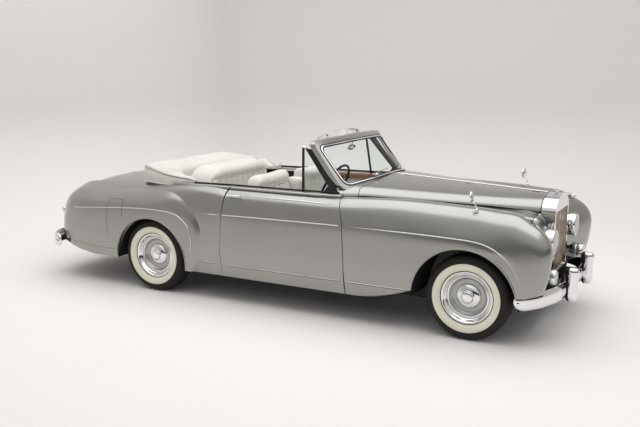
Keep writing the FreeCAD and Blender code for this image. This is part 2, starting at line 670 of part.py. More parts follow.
def grille_space():
    """The straight-topped opening through the radiator shell, with its small round corners."""
    back = along(shell_back_share) - shut_gap
    half = across(shell_outline_shares[-1][0]) - shell_wall
    foot, top = up(shell_foot_share) + shell_wall, up(grille_top_share)
    space = box(back, back + shell_depth * 2, -half, half, foot, top)
    long_edges = [edge for edge in space.Edges if edge.BoundBox.XLength > shell_depth]
    return space.makeFillet(grille_corner, long_edges)


def radiator_shell():
    """The bright radiator shell with its open front, and a plain cap on top."""
    back = along(shell_back_share)
    shell = shell_profile(back).extrude(Vector(shell_depth, 0, 0))
    hole = grille_space()
    shell = shell.cut(hole)
    cap_x = back + shell_depth / 2
    top = up(shell_outline_shares[0][1])
    stem = rod(Vector(cap_x, 0, top - shell_wall), Vector(cap_x, 0, top + cap_height), cap_radius * 0.6)
    cap = rod(Vector(cap_x, 0, top + cap_height / 2), Vector(cap_x, 0, top + cap_height), cap_radius)
    return shell.fuse([stem, cap])


def radiator_grille():
    """Upright slats in the radiator shell, held by a back plate, with one wider centre bar."""
    back = along(shell_back_share)
    front = back + shell_depth - shell_wall / 2
    space = grille_space().common(box(back, half_length, -far, far, 0, far))
    plate_x = front - slat_depth
    pieces = [box(plate_x - slat_width, plate_x, -half_width, half_width, 0, far)]
    count = int(across(shell_half_share) / slat_pitch)
    for index in range(-count, count + 1):
        wide = slat_width * (centre_slat_share if index == 0 else 1)
        y = index * slat_pitch
        pieces.append(box(plate_x, front, y - wide / 2, y + wide / 2, 0, far))
    return pieces[0].fuse(pieces[1:]).common(space)


def crown_under(depth):
    """The space under the left half of the crown, down to a depth."""
    return crown_face(0).extrude(Vector(0, 0, -depth))


def under_crown_edge():
    """All below the height of the crown's edge."""
    return below([(x, edge) for x, y, edge, ridge in crown_shares])


def bonnet_half():
    """The left half of the bonnet, a thin pressed shell from the ridge to the shut line."""
    solid = crown_under(up(0.4)).cut(crown_face(bonnet_thickness).extrude(Vector(0, 0, -up(0.5))))
    rear_points = [Vector(along(x), across(y), 0) for x, y in bonnet_rear_shares]
    front_x = along(shell_back_share) - shut_gap
    plan = [Vector(front_x, 0, 0)] + rear_points + [Vector(front_x, rear_points[-1].y, 0)]
    half = solid.common(prism(plan, Vector(0, 0, far)))
    half = half.cut(box(0, half_length, -far, centre_strip_width / 2 + shut_gap, 0, far))
    half = half.cut(under_crown_edge()).cut(bonnet_hinge(hinge_pin_radius + hinge_gap)[1])
    return half.fuse(bonnet_hinge(hinge_pin_radius)[0])


def scuttle():
    """The panel between the bonnet and the windscreen, with the bonnet's centre strip."""
    top = crown_under(scuttle_thickness)
    front_points = [Vector(along(x) - shut_gap, across(y), 0) for x, y in bonnet_rear_shares[:-1]]
    front_points[0].y = -shut_gap
    base = [Vector(along(x), across(y), 0) for x, y in scuttle_rear_shares]
    base[0].y = -shut_gap
    half = top.common(prism(front_points + base[::-1], Vector(0, 0, far)))
    door_side = across(door_inner_shares[0][0]) - shut_gap
    half = half.cut(box(along(0), along(0.43), door_side, far, 0, far))
    strip = crown_under(bonnet_thickness)
    strip_box = box(along(0.54), along(shell_back_share), -far, centre_strip_width / 2, 0, far)
    half = half.fuse(strip.common(strip_box)).fuse(bonnet_hinge(hinge_pin_radius)[1])
    half = half.cut(bonnet_hinge(hinge_pin_radius + hinge_gap)[0]).common(box(-far, far, 0, far, 0, far))
    return half.fuse(mirrored(half))


def screen_slab(depth, offset):
    """A curved, leaning slab that follows the windscreen, with a depth along X."""
    rows = []
    for part, z in screen_level_shares:
        half = [(low + (high - low) * part, y) for low, high, y in screen_line_shares]
        row = [(x, -y) for x, y in half[:0:-1]] + half
        rows.append([spot(x, y, z) + Vector(offset, 0, 0) for x, y in row])
    face = smooth_face(rows, [part for part, z in screen_level_shares], column_steps(rows[1]))
    return face.extrude(Vector(-depth, 0, 0))


def screen_outline(inset, x0, x1):
    """The windscreen's rounded outline seen from the front, drawn in by a width, along X."""
    low_y, high_y = across(screen_half_low_share) - inset, across(screen_half_high_share) - inset
    low_z, high_z = up(screen_low_share) + inset, up(screen_high_share) - inset
    low_mid, high_mid = up(screen_low_middle_share) + inset, up(screen_high_middle_share) - inset
    corner = screen_corner
    bend = corner * (1 - math.sqrt(0.5))
    low = [Vector(x0, -low_y + corner, low_z), Vector(x0, 0, low_mid), Vector(x0, low_y - corner, low_z)]
    high = [Vector(x0, high_y - corner, high_z), Vector(x0, 0, high_mid),
            Vector(x0, -high_y + corner, high_z)]
    right_low, right_high = Vector(x0, low_y, low_z + corner), Vector(x0, high_y, high_z - corner)
    left_low, left_high = Vector(x0, -low_y, low_z + corner), Vector(x0, -high_y, high_z - corner)
    edges = [Part.Arc(*low).toShape(),
             Part.Arc(low[2], Vector(x0, low_y - bend, low_z + bend), right_low).toShape(),
             Part.makeLine(right_low, right_high),
             Part.Arc(right_high, Vector(x0, high_y - bend, high_z - bend), high[0]).toShape(),
             Part.Arc(*high).toShape(),
             Part.Arc(high[2], Vector(x0, -high_y + bend, high_z - bend), left_high).toShape(),
             Part.makeLine(left_high, left_low),
             Part.Arc(left_low, Vector(x0, -low_y + bend, low_z + bend), low[0]).toShape()]
    return Part.Face(Part.Wire(edges)).extrude(Vector(x1 - x0, 0, 0))


def screen_pieces():
    """The windscreen's painted frame, its bright trim and its glass."""
    x0, x1 = along(-0.2), along(1.0)
    outside = screen_outline(-pillar_width, x0, x1)
    trim_edge = screen_outline(0, x0, x1)
    glass_edge = screen_outline(trim_width, x0, x1)
    foot = crown_under(up(0.4))
    feet = [foot, mirrored(foot)]
    frame = screen_slab(pillar_depth, 0).common(outside).cut(trim_edge)
    frame = frame.cut(feet).cut(box(x0, x1, -far, far, 0, up(1.06)))
    trim = screen_slab(trim_depth, 0).common(trim_edge).cut(glass_edge).cut(feet)
    glass_back = (trim_depth - glass_thickness) / 2
    glass = screen_slab(glass_thickness, -glass_back).common(glass_edge).cut(feet)
    return frame, trim, glass


def rail_bar(x0, x1):
    """The rounded rail along the waist of the left side, between two places along the car."""
    wires = []
    for x, y, z in rail_shares:
        centre = spot(x, y, z)
        points = []
        for step in range(rail_points):
            turn = 2 * math.pi * step / rail_points
            reach, rise = math.cos(turn) * rail_width / 2, math.sin(turn) * rail_height / 2
            points.append(centre + Vector(0, reach, rise))
        curve = Part.BSplineCurve()
        curve.interpolate(Points=points, PeriodicFlag=True)
        wires.append(Part.Wire(curve.toShape()))
    return Part.makeLoft(wires, True).common(box(x0, x1, 0, far, 0, far))


def door():
    """A left door as thick as its wall, with the waist rail along its top."""
    front = shifted(door_front_shares, -shut_gap / 2)
    rear = shifted(door_rear_shares, shut_gap / 2)
    keep = side_block(front, rear, 0, far)
    solid = side_face.common(side_block(front, rear, 0, far)).extrude(door_way * door_depth)
    solid = solid.fuse(rail_bar(along(-1.0), along(0.5))).common(keep)
    corners = [Vector(along(-1.0), 0, far)] + [
        Vector(along(-1.0), across(y), up(z)) for y, z in door_inner_shares]
    corners[1].z = far
    corners += [Vector(along(-1.0), corners[-1].y, -far), Vector(along(-1.0), 0, -far)]
    panel = solid.cut(prism(corners, Vector(wheelbase / 2, 0, 0)))
    panel = panel.cut(box(along(-1.0), along(0.8), 0, far, -far, sill_height))
    slant = []
    for y, x in ((across(0.60), jamb_slant), (across(0.84), -jamb_slant / 4)):
        line = [Vector(p.x + x, y, p.z) for p in rear]
        back = [Vector(p.x - door_thickness, y, p.z) for p in (rear[0], rear[-1])]
        slant.append(Part.makePolygon([back[0]] + line + [back[1], back[0]]))
    panel = panel.cut(Part.makeLoft(slant, True, True)).cut(door_swing_space())
    return panel.fuse(door_hinge_arms())


def cabin_opening():
    """The opening for the cabin and the folded hood, seen from above."""
    left = [spot(x, y, 0) for x, y in cabin_shares]
    right = [Vector(p.x, -p.y, 0) for p in left[::-1]]
    curve = smooth_edge(left + right[1:])
    face = Part.Face(Part.Wire([curve, Part.makeLine(right[-1], left[0])]))
    return face.extrude(Vector(0, 0, far))


def lid_space(gap):
    """The space of the boot lid, widened by a gap."""
    half = lid_half_width + gap
    corner = lid_corner
    front_x, rear_x = along(lid_front_share) + gap, -far
    foot = up(lid_foot_share) - gap
    plan = [(rear_x, -half), (front_x - corner, -half), (front_x, -half + corner),
            (front_x, half - corner), (front_x - corner, half), (rear_x, half)]
    outline = [Vector(x, y, foot) for x, y in plan]
    return prism(outline, Vector(0, 0, far))


def rear_body():
    """The deck, the tail and the rear wings, open for the cabin, the lid and the wheels."""
    rear_edge = shifted(door_rear_shares, -shut_gap / 2)
    behind = [Vector(-far, 0, p.z) for p in (rear_edge[0], rear_edge[-1])]
    keep = side_block(rear_edge, behind, -far, far)
    skin = tail_face.common(keep).cut(cabin_opening()).cut(lid_space(shut_gap))
    skin = skin.cut(rear_arch(well_margin)).cut(below(tail_foot_shares))
    wing_skin = haunch_face.cut(rear_arch()).cut(below(haunch_foot_shares))
    for edge in (below(tail_foot_shares), lid_space(shut_gap)):
        wing_skin = wing_skin.cut(edge)
    half = thick(skin, deck_way).fuse(thick(wing_skin, haunch_way))
    rail = rail_bar(along(-1.30), along(-0.5)).common(keep)
    half = half.fuse(rail).cut(box(along(-1.6), along(0), 0, far, -far, sill_height))
    half = half.cut(lid_space(shut_gap)).cut(lamp_hole(spot(*tail_lamp_share), tail_lamp_radius))
    moving, fixed = lid_hinge(hinge_pin_radius)
    half = half.common(box(-far, far, 0, far, -far, far)).fuse(fixed)
    half = half.cut(lid_hinge(hinge_pin_radius + hinge_gap)[0])
    return half.fuse(mirrored(half))


def boot_lid():
    """The boot lid, from the deck down the tail."""
    half = thick(tail_face.common(lid_space(0)), deck_way)
    half = half.common(box(-far, far, 0, far, -far, far)).common(lid_space(0))
    half = half.cut(lid_hinge(hinge_pin_radius + hinge_gap)[1]).fuse(lid_hinge(hinge_pin_radius)[0])
    return half.fuse(mirrored(half))


def revolved(profile, place, way):
    """A closed (radius, reach) outline turned about a line across the car through a place."""
    corners = [place + Vector(0, way * reach, radius) for radius, reach in profile]
    face = Part.Face(Part.makePolygon(corners + corners[:1]))
    return face.revolve(place, Vector(0, 1, 0), 360)


def wheel_place(axle_x, track):
    """The centre of a left wheel."""
    return Vector(axle_x, track / 2, tyre_radius)


def tyre(place):
    """A tyre with flat walls and a rounded tread."""
    half, bead = tyre_width / 2, rim_radius + seat_gap * 2
    wall = tyre_radius - bead
    seat = rim_width / 2 - rim_lip * 2
    clear = trim_ring_radius + rim_lip / 2
    profile = [(bead, -seat), (clear, -seat), (bead + wall * 0.28, -half), (bead + wall * 0.66, -half),
               (tyre_radius, -half * 0.62), (tyre_radius, half * 0.62), (bead + wall * 0.66, half),
               (bead + wall * 0.28, half), (clear, seat), (bead, seat)]
    return revolved(profile, place, 1)


def wheel(place):
    """A pressed steel wheel with its drum, hub, trim ring and domed hub cap."""
    half = rim_width / 2
    bore = axle_radius + running_clearance
    well = rim_radius - rim_well_depth
    plate = disc_reach
    profile = [
        (bore, -hub_reach), (hub_radius, -hub_reach), (hub_radius, -drum_gap),
        (brake_drum_radius - rim_lip, -drum_gap), (brake_drum_radius - rim_lip, -brake_drum_width),
        (brake_drum_radius, -brake_drum_width), (brake_drum_radius, 0),
        (well - disc_thickness * 2, disc_thickness), (well - disc_thickness, -half * 0.4),
        (rim_radius - disc_thickness, -half), (rim_radius + rim_lip, -half),
        (rim_radius, -half + disc_thickness),
        (rim_radius, -half * 0.6), (well, -half * 0.4), (well, half * 0.4), (rim_radius, half * 0.6),
        (rim_radius, half - disc_thickness),
        (trim_ring_radius, half), (trim_ring_radius - disc_thickness, half + disc_thickness * 2),
        (rim_radius - rim_well_depth * 0.5, half + disc_thickness), (well - disc_thickness, half * 0.55),
        (well - disc_thickness * 2, plate), (hub_cap_radius, plate - disc_thickness),
        (hub_cap_radius, plate), (hub_cap_radius * 0.88, plate + hub_cap_height * 0.32),
        (hub_cap_radius * 0.62, plate + hub_cap_height * 0.52),
        (hub_boss_radius * 1.08, plate + hub_cap_height * 0.60),
        (hub_boss_radius, plate + hub_cap_height * 0.92), (hub_boss_radius * 0.6, plate + hub_cap_height),
        (0, plate + hub_cap_height), (0, axle_reach + running_clearance * 4),
        (bore, axle_reach + running_clearance * 4)]
    return revolved(profile, place, 1)


def kingpin_place():
    """The middle of the left kingpin."""
    place = wheel_place(front_axle_x, front_track)
    return place - Vector(0, kingpin_inset, 0)


def knuckle():
    """A steered knuckle: its upright kingpin, stub axle and brake back plate."""
    pin = kingpin_place()
    centre = wheel_place(front_axle_x, front_track)
    half = Vector(0, 0, kingpin_length / 2)
    upright = rod(pin - half, pin + half, kingpin_radius)
    boss = rod(pin - half * 0.55, pin + half * 0.55, kingpin_radius * 1.7)
    stub = rod(pin, centre + Vector(0, axle_reach, 0), axle_radius)
    plate_y = -brake_drum_width - disc_thickness * 2
    plate = rod(centre + Vector(0, plate_y, 0), centre + Vector(0, plate_y + disc_thickness, 0),
                brake_drum_radius - rim_lip)
    arm_end = pin + Vector(-steering_arm_length, -steering_arm_length * 0.2, -kingpin_radius * 2)
    arm = rod(pin - Vector(0, 0, kingpin_radius * 2), arm_end, kingpin_radius * 0.8)
    return upright.fuse([boss, stub, plate, arm])


def front_suspension():
    """Each side's spring tower on its rail, with the wishbones and the coil spring."""
    pin = kingpin_place()
    half = kingpin_length / 2
    rail_side = frame_rail_y + frame_rail_width / 2 + seat_gap
    tower_side = rail_side + tower_thickness
    low_z = pin.z - half - arm_thickness - seat_gap
    top_z = pin.z + half + seat_gap
    pieces = [box(pin.x - lower_arm_spread, pin.x + lower_arm_spread, rail_side, tower_side,
                  low_z, top_z + arm_thickness)]
    for low, spread in ((low_z, lower_arm_spread), (top_z, upper_arm_spread)):
        way = Vector(0, 0, arm_thickness)
        pieces.append(rod(Vector(pin.x, pin.y, low), Vector(pin.x, pin.y, low) + way, kingpin_radius * 1.5))
        for side in (-1, 1):
            wide = kingpin_radius
            foot = Vector(pin.x + side * (spread - wide), tower_side, low)
            corners = [Vector(pin.x - wide, pin.y, low), Vector(pin.x + wide, pin.y, low),
                       foot + Vector(wide, 0, 0), foot - Vector(wide, 0, 0)]
            pieces.append(prism(corners, way))
    shelf_z = top_z - shelf_drop
    shelf = box(pin.x - coil_radius, pin.x + coil_radius, rail_side, coil_y + coil_radius,
                shelf_z, shelf_z + tower_thickness)
    web = box(pin.x - coil_radius, pin.x + coil_radius, rail_side, coil_y + coil_radius,
              low_z, low_z + arm_thickness)
    coil = rod(Vector(pin.x, coil_y, low_z), Vector(pin.x, coil_y, shelf_z), coil_radius)
    left = pieces[0].fuse(pieces[1:] + [shelf, web, coil])
    return Part.makeCompound([left, mirrored(left)])


def rear_axle():
    """The live rear axle with its leaf springs."""
    place = wheel_place(rear_axle_x, rear_track)
    reach = place.y
    stub = rod(Vector(place.x, 0, place.z), place + Vector(0, axle_reach, 0), axle_radius)
    tube_end = place - Vector(0, hub_reach + disc_thickness * 3, 0)
    tube = rod(Vector(place.x, 0, place.z), tube_end, axle_tube_radius)
    plate_y = reach - brake_drum_width - disc_thickness * 2
    plate = rod(Vector(place.x, plate_y, place.z), Vector(place.x, plate_y + disc_thickness, place.z),
                brake_drum_radius - rim_lip)
    bulge = Part.makeSphere(differential_radius, Vector(place.x, 0, place.z))
    low = place.z - axle_tube_radius + spring_seat
    length_shares = (-1, -0.5, 0, 0.5, 1)
    upper = [Vector(place.x + spring_half_length * share, spring_y, low + spring_eye_rise * share ** 2)
             for share in length_shares]
    top = smooth_edge(upper)
    foot = moved(top, z=-spring_thickness)
    ribbon = Part.makeRuledSurface(top, foot).extrude(Vector(0, spring_width, 0))
    left = stub.fuse([tube, plate, bulge, ribbon])
    return left.fuse(mirrored(left))


def chassis_frame():
    """The chassis: two box-section rails that rise over the rear axle, and cross members."""
    low, high = floor_height - frame_rail_height, floor_height
    rise = rail_kick_height
    over = rear_axle_x
    kick = kick_half_length
    foot = [(frame_front_x(), low + rise / 3), (over + kick * 2, low), (over + kick, low + rise),
            (over - kick, low + rise), (over - kick * 2, low + rise / 3), (frame_rear_x(), low + rise / 3)]
    depth = frame_rail_height
    points = [Vector(x, 0, z) for x, z in foot]
    front_low = [points[0], Vector(front_axle_x + kick, 0, low), points[1]]
    line = front_low[:2] + points[1:]
    top = [Vector(p.x, 0, p.z + depth) for p in line[::-1]]
    y0 = frame_rail_y - frame_rail_width / 2
    rail = prism([Vector(p.x, y0, p.z) for p in line + top], Vector(0, frame_rail_width, 0))
    pieces = [rail]
    wide = frame_rail_width
    member_low = exhaust_height + exhaust_radius + seat_gap
    for x in (front_axle_x, along(0.55), along(-0.15), along(-0.95)):
        pieces.append(box(x - wide / 2, x + wide / 2, 0, frame_rail_y, member_low, high))
    shell_x = along(shell_back_share)
    pieces.append(box(shell_x, shell_x + wide, 0, frame_rail_y, high - outrigger_height, high))
    shell_half = across(shell_half_share)
    pieces.append(box(shell_x + shell_wall / 2, shell_x + wide, shell_half / 2, shell_half * 0.8,
                      high - outrigger_height, up(shell_foot_share) - seat_gap))
    x = frame_rear_x() + wide
    tail_low = low + rise / 3
    pieces.append(box(x - wide / 2, x + wide / 2, 0, frame_rail_y, tail_low, tail_low + depth * 0.6))
    for x in (along(0.35), along(-0.90)):
        pieces.append(box(x - wide / 2, x + wide / 2, frame_rail_y, across(sill_inner_share) - seat_gap,
                          high - outrigger_height, high))
    spring_top = wheel_place(over, rear_track).z - axle_tube_radius + spring_seat + spring_eye_rise
    for side in (-1, 1):
        end = over + side * (spring_half_length + seat_gap)
        x0, x1 = sorted((end, end + side * spring_hanger))
        pieces.append(box(x0, x1, frame_rail_y, spring_y + spring_width, spring_top - spring_thickness,
                          spring_top))
    left = pieces[0].fuse(pieces[1:])
    tow = tow_hole_place() + Vector(0, tow_hole_spacing / 2, 0)
    left = left.cut(rod(tow - Vector(0, 0, depth), tow + Vector(0, 0, depth), tow_hole_radius))
    return left.fuse(mirrored(left))


def frame_front_x():
    """The front end of the chassis rails."""
    return along(2.08)


def frame_rear_x():
    """The rear end of the chassis rails."""
    return along(-2.78)


def inside_space():
    """All that lies within the skin of the left wing, right across the car, and under the crown."""
    inner = side_face.copy()
    inner.translate(skin_way * (panel_thickness + seat_gap))
    edge_y = crown_edge_y(along(bulkhead_share)) + shut_gap
    beside = inner.extrude(Vector(0, -half_width * 2, 0)).cut(box(-far, far, -far, edge_y, up(1.05), far))
    return beside.fuse(crown_face(scuttle_thickness + seat_gap).extrude(Vector(0, 0, -up(0.4))))


def hinge_rods(start, way, places, radius):
    """Knuckles on a hinge line: at each place a moving one, and a fixed one on either side."""
    moving, fixed = [], []
    half = way * (hinge_knuckle_length / 2)
    for place in places:
        middle = start + way * place
        moving.append(rod(middle - half, middle + half, radius))
        for side in (-1, 1):
            near = middle + (half + way * seat_gap) * side
            fixed.append(rod(near, near + half * side, radius))
    return moving, fixed


def bonnet_hinge(radius):
    """The knuckles along the ridge, for the left half of the bonnet."""
    start, end = bonnet_hinge_line()
    way = end - start
    length = way.Length
    return hinge_rods(start, way.normalize(), [length * share for share in bonnet_hinge_shares], radius)


def lid_hinge(radius):
    """The knuckles at the front edge of the boot lid, on the left."""
    return hinge_rods(lid_hinge_place(), Vector(0, 1, 0), [across(lid_hinge_y_share)], radius)


def door_hinge_arms():
    """The two curved arms that carry the left door on its hinge pins."""
    pin = door_hinge_place()
    arms = []
    for share in (door_hinge_low_share, door_hinge_high_share):
        z = up(share)
        corners = [Vector(pin.x + x * hinge_set_ahead, pin.y + y * hinge_set_ahead, z)
                   for x, y in hinge_arm_shares]
        bore = rod(Vector(pin.x, pin.y, z), Vector(pin.x, pin.y, z + hinge_arm_height),
                   hinge_pin_radius + running_clearance)
        arms.append(prism(corners, Vector(0, 0, hinge_arm_height)).cut(bore))
    return arms


def door_hinge_blocks():
    """The hinge pins of the left door and the blocks that hold them behind the bulkhead."""
    pin = door_hinge_place()
    front = along(bulkhead_share)
    wide = hinge_pin_radius * 1.4
    blocks = []
    for share in (door_hinge_low_share, door_hinge_high_share):
        z = up(share)
        low, high = z - seat_gap - hinge_arm_height, z + hinge_arm_height * 2 + seat_gap
        blocks.append(rod(Vector(pin.x, pin.y, low), Vector(pin.x, pin.y, high), hinge_pin_radius))
        for start in (low, high - hinge_arm_height):
            blocks.append(box(pin.x - wide, front, pin.y - wide, pin.y + wide, start,
                              start + hinge_arm_height))
    return blocks


def door_swing_space():
    """The room that the edge of the wing needs as the left door turns about its hinge."""
    pin = door_hinge_place()
    side_y = across(side_shares[0.45][8][0])
    outline = [Vector(pin.x, pin.y, up(z)) for x, z in (door_front_shares[-1], door_front_shares[3])]
    for x, z in door_front_shares[3:]:
        reach = math.hypot(pin.x - along(x) - shut_gap / 2, side_y - pin.y) + shut_gap
        outline.append(Vector(pin.x - reach, pin.y, up(z)))
    face = Part.Face(Part.makePolygon(outline + outline[:1]))
    return face.revolve(pin, Vector(0, 0, 1), 360)


def floor_pan():
    """The cabin floor with its sills, toe board, bulkhead and the pan under the rear seat."""
    front, rear = along(bulkhead_share), along(seat_pan_share)
    half = across(sill_inner_share)
    top = floor_height + floor_thickness
    plate = box(rear, front, 0, half + sill_width, floor_height, top)
    sill = box(along(-0.72), along(0.47), half, half + sill_width, sill_height + shut_gap, top + sill_rise)
    wall = box(front, front + floor_thickness, 0, half_width, floor_height, up(bulkhead_top_share))
    wall = wall.common(inside_space())
    riser = box(rear - floor_thickness, rear, 0, across(0.60), floor_height, up(boot_floor_share))
    boot_floor = up(boot_floor_share)
    pan = box(along(-2.70), rear, 0, across(0.585), boot_floor - floor_thickness, boot_floor)
    left = plate.fuse([sill, wall, riser, pan] + door_hinge_blocks())
    rail_side = frame_rail_width / 2 + seat_gap
    rail_slot = box(rear - floor_thickness * 2, rear, frame_rail_y - rail_side, frame_rail_y + rail_side,
                    floor_height - floor_thickness, floor_height + floor_thickness * 3)
    left = left.cut(rail_slot)
    return left.fuse(mirrored(left))


def engine_block():
    """The engine and gearbox as one plain block."""
    middle = front_axle_x - engine_length * 0.36
    return box(middle - engine_length / 2, middle + engine_length / 2, -engine_width / 2, engine_width / 2,
               floor_height + seat_gap, floor_height + seat_gap + engine_height)


def exhaust():
    """The exhaust pipe with its silencer, under the floor to the tail."""
    front, rear = along(0.95), along(-2.90)
    places = [Vector(x, exhaust_y, exhaust_height) for x in (rear, along(-0.75), along(-0.25), front)]
    pipe = rod(places[0], places[3], exhaust_radius)
    silencer = rod(places[1], places[2], silencer_radius)
    return pipe.fuse(silencer)


def bumper(line_shares, tip_x, lean, depth, thickness):
    """A curved blade bumper with two overriders, along (x, y) shares and a tip."""
    wires = []
    points = [spot(x, y, 0) for x, y in line_shares]
    full = [Vector(p.x, -p.y, 0) for p in points[:0:-1]] + points
    z = up(bumper_middle_share)
    curve = Part.BSplineCurve()
    curve.interpolate(Points=full)
    count = bumper_rings
    first, last = curve.FirstParameter, curve.LastParameter
    for step in range(count + 1):
        place = curve.value(first + (last - first) * step / count)
        tangent = Vector(*curve.tangent(first + (last - first) * step / count)[0])
        out = Vector(tangent.y, -tangent.x, 0).normalize() * lean
        end = abs(place.y) / across(line_shares[-1][1])
        tall = bumper_height / 2 * (1 - 0.42 * end ** 4)
        section = []
        for turn_step in range(10):
            turn = 2 * math.pi * turn_step / 10
            section.append(Vector(place.x, place.y, z) + out * math.cos(turn) * thickness
                           + Vector(0, 0, math.sin(turn) * tall))
        ring = Part.BSplineCurve()
        ring.interpolate(Points=section, PeriodicFlag=True)
        wires.append(Part.Wire(ring.toShape()))
    blade = Part.makeLoft(wires, True)
    pieces = []
    for side in (-1, 1):
        rings = []
        for rise, wide, deep in overrider_shares:
            height = up(overrider_foot_share) + overrider_height * rise
            half_deep = depth / 2 * deep
            centre = Vector(tip_x - lean * depth / 2, side * across(overrider_share), height)
            ring_points = [centre + Vector(math.cos(math.pi * k / 4) * half_deep,
                                           math.sin(math.pi * k / 4) * overrider_width / 2 * wide, 0)
                           for k in range(8)]
            ring = Part.BSplineCurve()
            ring.interpolate(Points=ring_points, PeriodicFlag=True)
            rings.append(Part.Wire(ring.toShape()))
        pieces.append(Part.makeLoft(rings, True))
    return blade, pieces


def front_bumper():
    """The front bumper with its overriders and the irons that carry it."""
    blade, pieces = bumper(front_bumper_shares, half_length, 1, overrider_depth, bumper_thickness)
    z = up(bumper_middle_share)
    for side in (-1, 1):
        y = side * frame_rail_y
        pieces.append(box(frame_front_x() + seat_gap, half_length - overrider_depth * 0.8,
                          y - iron_width / 2, y + iron_width / 2, z - iron_height / 2, z + iron_height / 2))
    return blade.fuse(pieces)


def rear_bumper():
    """The rear bumper with its overriders and the irons that carry it."""
    blade, pieces = bumper(rear_bumper_shares, -half_length, -1, rear_overrider_depth,
                           rear_bumper_thickness)
    z = up(bumper_middle_share)
    for side in (-1, 1):
        y = side * frame_rail_y
        pieces.append(box(-half_length + rear_overrider_depth * 0.7, frame_rear_x() - seat_gap,
                          y - iron_width / 2, y + iron_width / 2, z - iron_height / 2, z + iron_height / 2))
    return blade.fuse(pieces)


def side_lamp():
    """The teardrop body of a side lamp on the crest of the left wing, and its lens."""
    front, rear = spot(*side_lamp_shares[0]), spot(*side_lamp_shares[1])
    way = (front - rear).normalize()
    radius = side_lamp_radius
    across_way = way.cross(Vector(0, 1, 0))
    turned = []
    for outline in side_lamp_profile, side_lens_profile:
        corners = [front + way * (reach * radius) + across_way * (share * radius) for share, reach in outline]
        turned.append(Part.Face(Part.makePolygon(corners + corners[:1])).revolve(front, way, 360))
    return [largest(shape.cut(wing_space())) for shape in turned]


def round_lamp(place, radius, length, way):
    """A lamp's round body that tapers back from its bright rim, and its domed lens."""
    rim = lamp_rim
    profile = [(radius * share, -length * reach) for share, reach in lamp_back_shares]
    profile += [(radius, rim), (radius - rim, rim * 1.4), (radius - rim, 0), (0, 0)]
    lens = [(0, seat_gap), (radius - rim - seat_gap, seat_gap), (radius - rim - seat_gap, rim),
            (radius * 0.55, rim * 2.2), (radius * 0.25, rim * 2.8), (0, rim * 2.9)]
    turned = []
    for outline in (profile, lens):
        corners = [place + Vector(way * reach, 0, r) for r, reach in outline]
        face = Part.Face(Part.makePolygon(corners + corners[:1]))
        turned.append(face.revolve(place, Vector(1, 0, 0), 360))
    return turned


def wing_space():
    """All that lies inside the left wing's skin."""
    return side_face.extrude(skin_way * (wheelbase / 10))


def lamps():
    """The bodies of the front lamps, and their lenses."""
    bodies, lenses = [], []
    for place, radius, length in ((headlamp_place(), headlamp_radius, headlamp_length),
                                  (fog_lamp_place(), fog_lamp_radius, fog_lamp_length)):
        body, lens = round_lamp(place, radius, length, 1)
        bodies += [body, mirrored(body)]
        lenses += [lens, mirrored(lens)]
    body, lens = side_lamp()
    bodies += [body, mirrored(body)]
    lenses += [lens, mirrored(lens)]
    return Part.makeCompound(bodies), Part.makeCompound(lenses)


def tail_lamps():
    """The round rear lamps on the tails of the wings."""
    lamps = []
    place = spot(*tail_lamp_share)
    body = round_lamp(place, tail_lamp_radius, fog_lamp_length, -1)[0]
    cap = rod(place - Vector(lamp_rim, 0, 0), place + Vector(-seat_gap, 0, 0), tail_lamp_radius - lamp_rim)
    body = body.fuse(cap)
    return Part.makeCompound([body, mirrored(body)])


def wing_mirrors():
    """The round mirrors on the front wings."""
    foot = spot(1.606, 0.769, 1.050)
    head = spot(1.569, 0.786, 1.158)
    stem = rod(foot, head, mirror_stem_radius)
    way = Vector(mirror_depth, 0, 0)
    disc = rod(head - way / 2, head + way / 2, mirror_radius)
    base = rod(foot - Vector(0, 0, mirror_depth), foot + Vector(0, 0, mirror_depth * 0.3),
               mirror_stem_radius * 2.4)
    left = stem.fuse([disc, base]).cut(wing_space())
    left = Part.makeCompound([solid for solid in left.Solids if solid.BoundBox.ZMax > foot.z])
    return Part.makeCompound(left.Solids + [mirrored(solid) for solid in left.Solids])


def quarter_light():
    """The frame of a door's fixed quarter light."""
    low_rear, low_front, high_front, high_rear = [spot(*share) for share in quarter_shares]
    post = rod(low_rear, high_rear, quarter_bar_radius)
    front = rod(low_front, high_front, quarter_bar_radius * 0.7)
    cap = rod(high_rear, high_front, quarter_bar_radius * 0.7)
    foot = rod(low_rear, low_front, quarter_bar_radius * 0.7)
    return post.fuse([front, cap, foot])


def quarter_glass():
    """The glass of a door's quarter light."""
    return prism([spot(*share) for share in quarter_shares], Vector(0, glass_thickness * 0.7, 0))


def door_handle():
    """A door's bar handle."""
    front, rear = spot(-0.560, 0.845, 1.005), spot(-0.704, 0.845, 1.002)
    bar = rod(rear, front, handle_radius)
    posts = [rod(end, end - Vector(0, handle_reach, 0), handle_radius * 0.7)
             for end in (rear * 0.85 + front * 0.15, rear * 0.15 + front * 0.85)]
    return bar.fuse(posts)


def soft_block(corners, radius):
    """A cushion-like block with rounded edges, between two corners."""
    block = box(*corners)
    return block.makeFillet(radius, block.Edges)


def seat_back(outline, corner, foot, depth):
    """A seat back of an outline of (y, z) shares, rounded, from a foot up, with a depth along X."""
    points = [Vector(0, across(y), up(z)) for y, z in outline]
    block = prism(points, Vector(depth, 0, 0))
    upright = [edge for edge in block.Edges if edge.BoundBox.XLength > depth / 2
               and edge.BoundBox.ZMin > up(seat_bend_share)]
    block = block.makeFillet(corner, upright)
    return moved(block.makeFillet(seat_round, block.Faces[block_side(block, 0)].Edges
                                  + block.Faces[block_side(block, depth)].Edges), foot, 0, 0)


def block_side(block, x):
    """The number of a block's flat face at an x."""
    sizes = [abs(face.BoundBox.XMin - x) + face.BoundBox.XLength for face in block.Faces]
    return sizes.index(min(sizes))


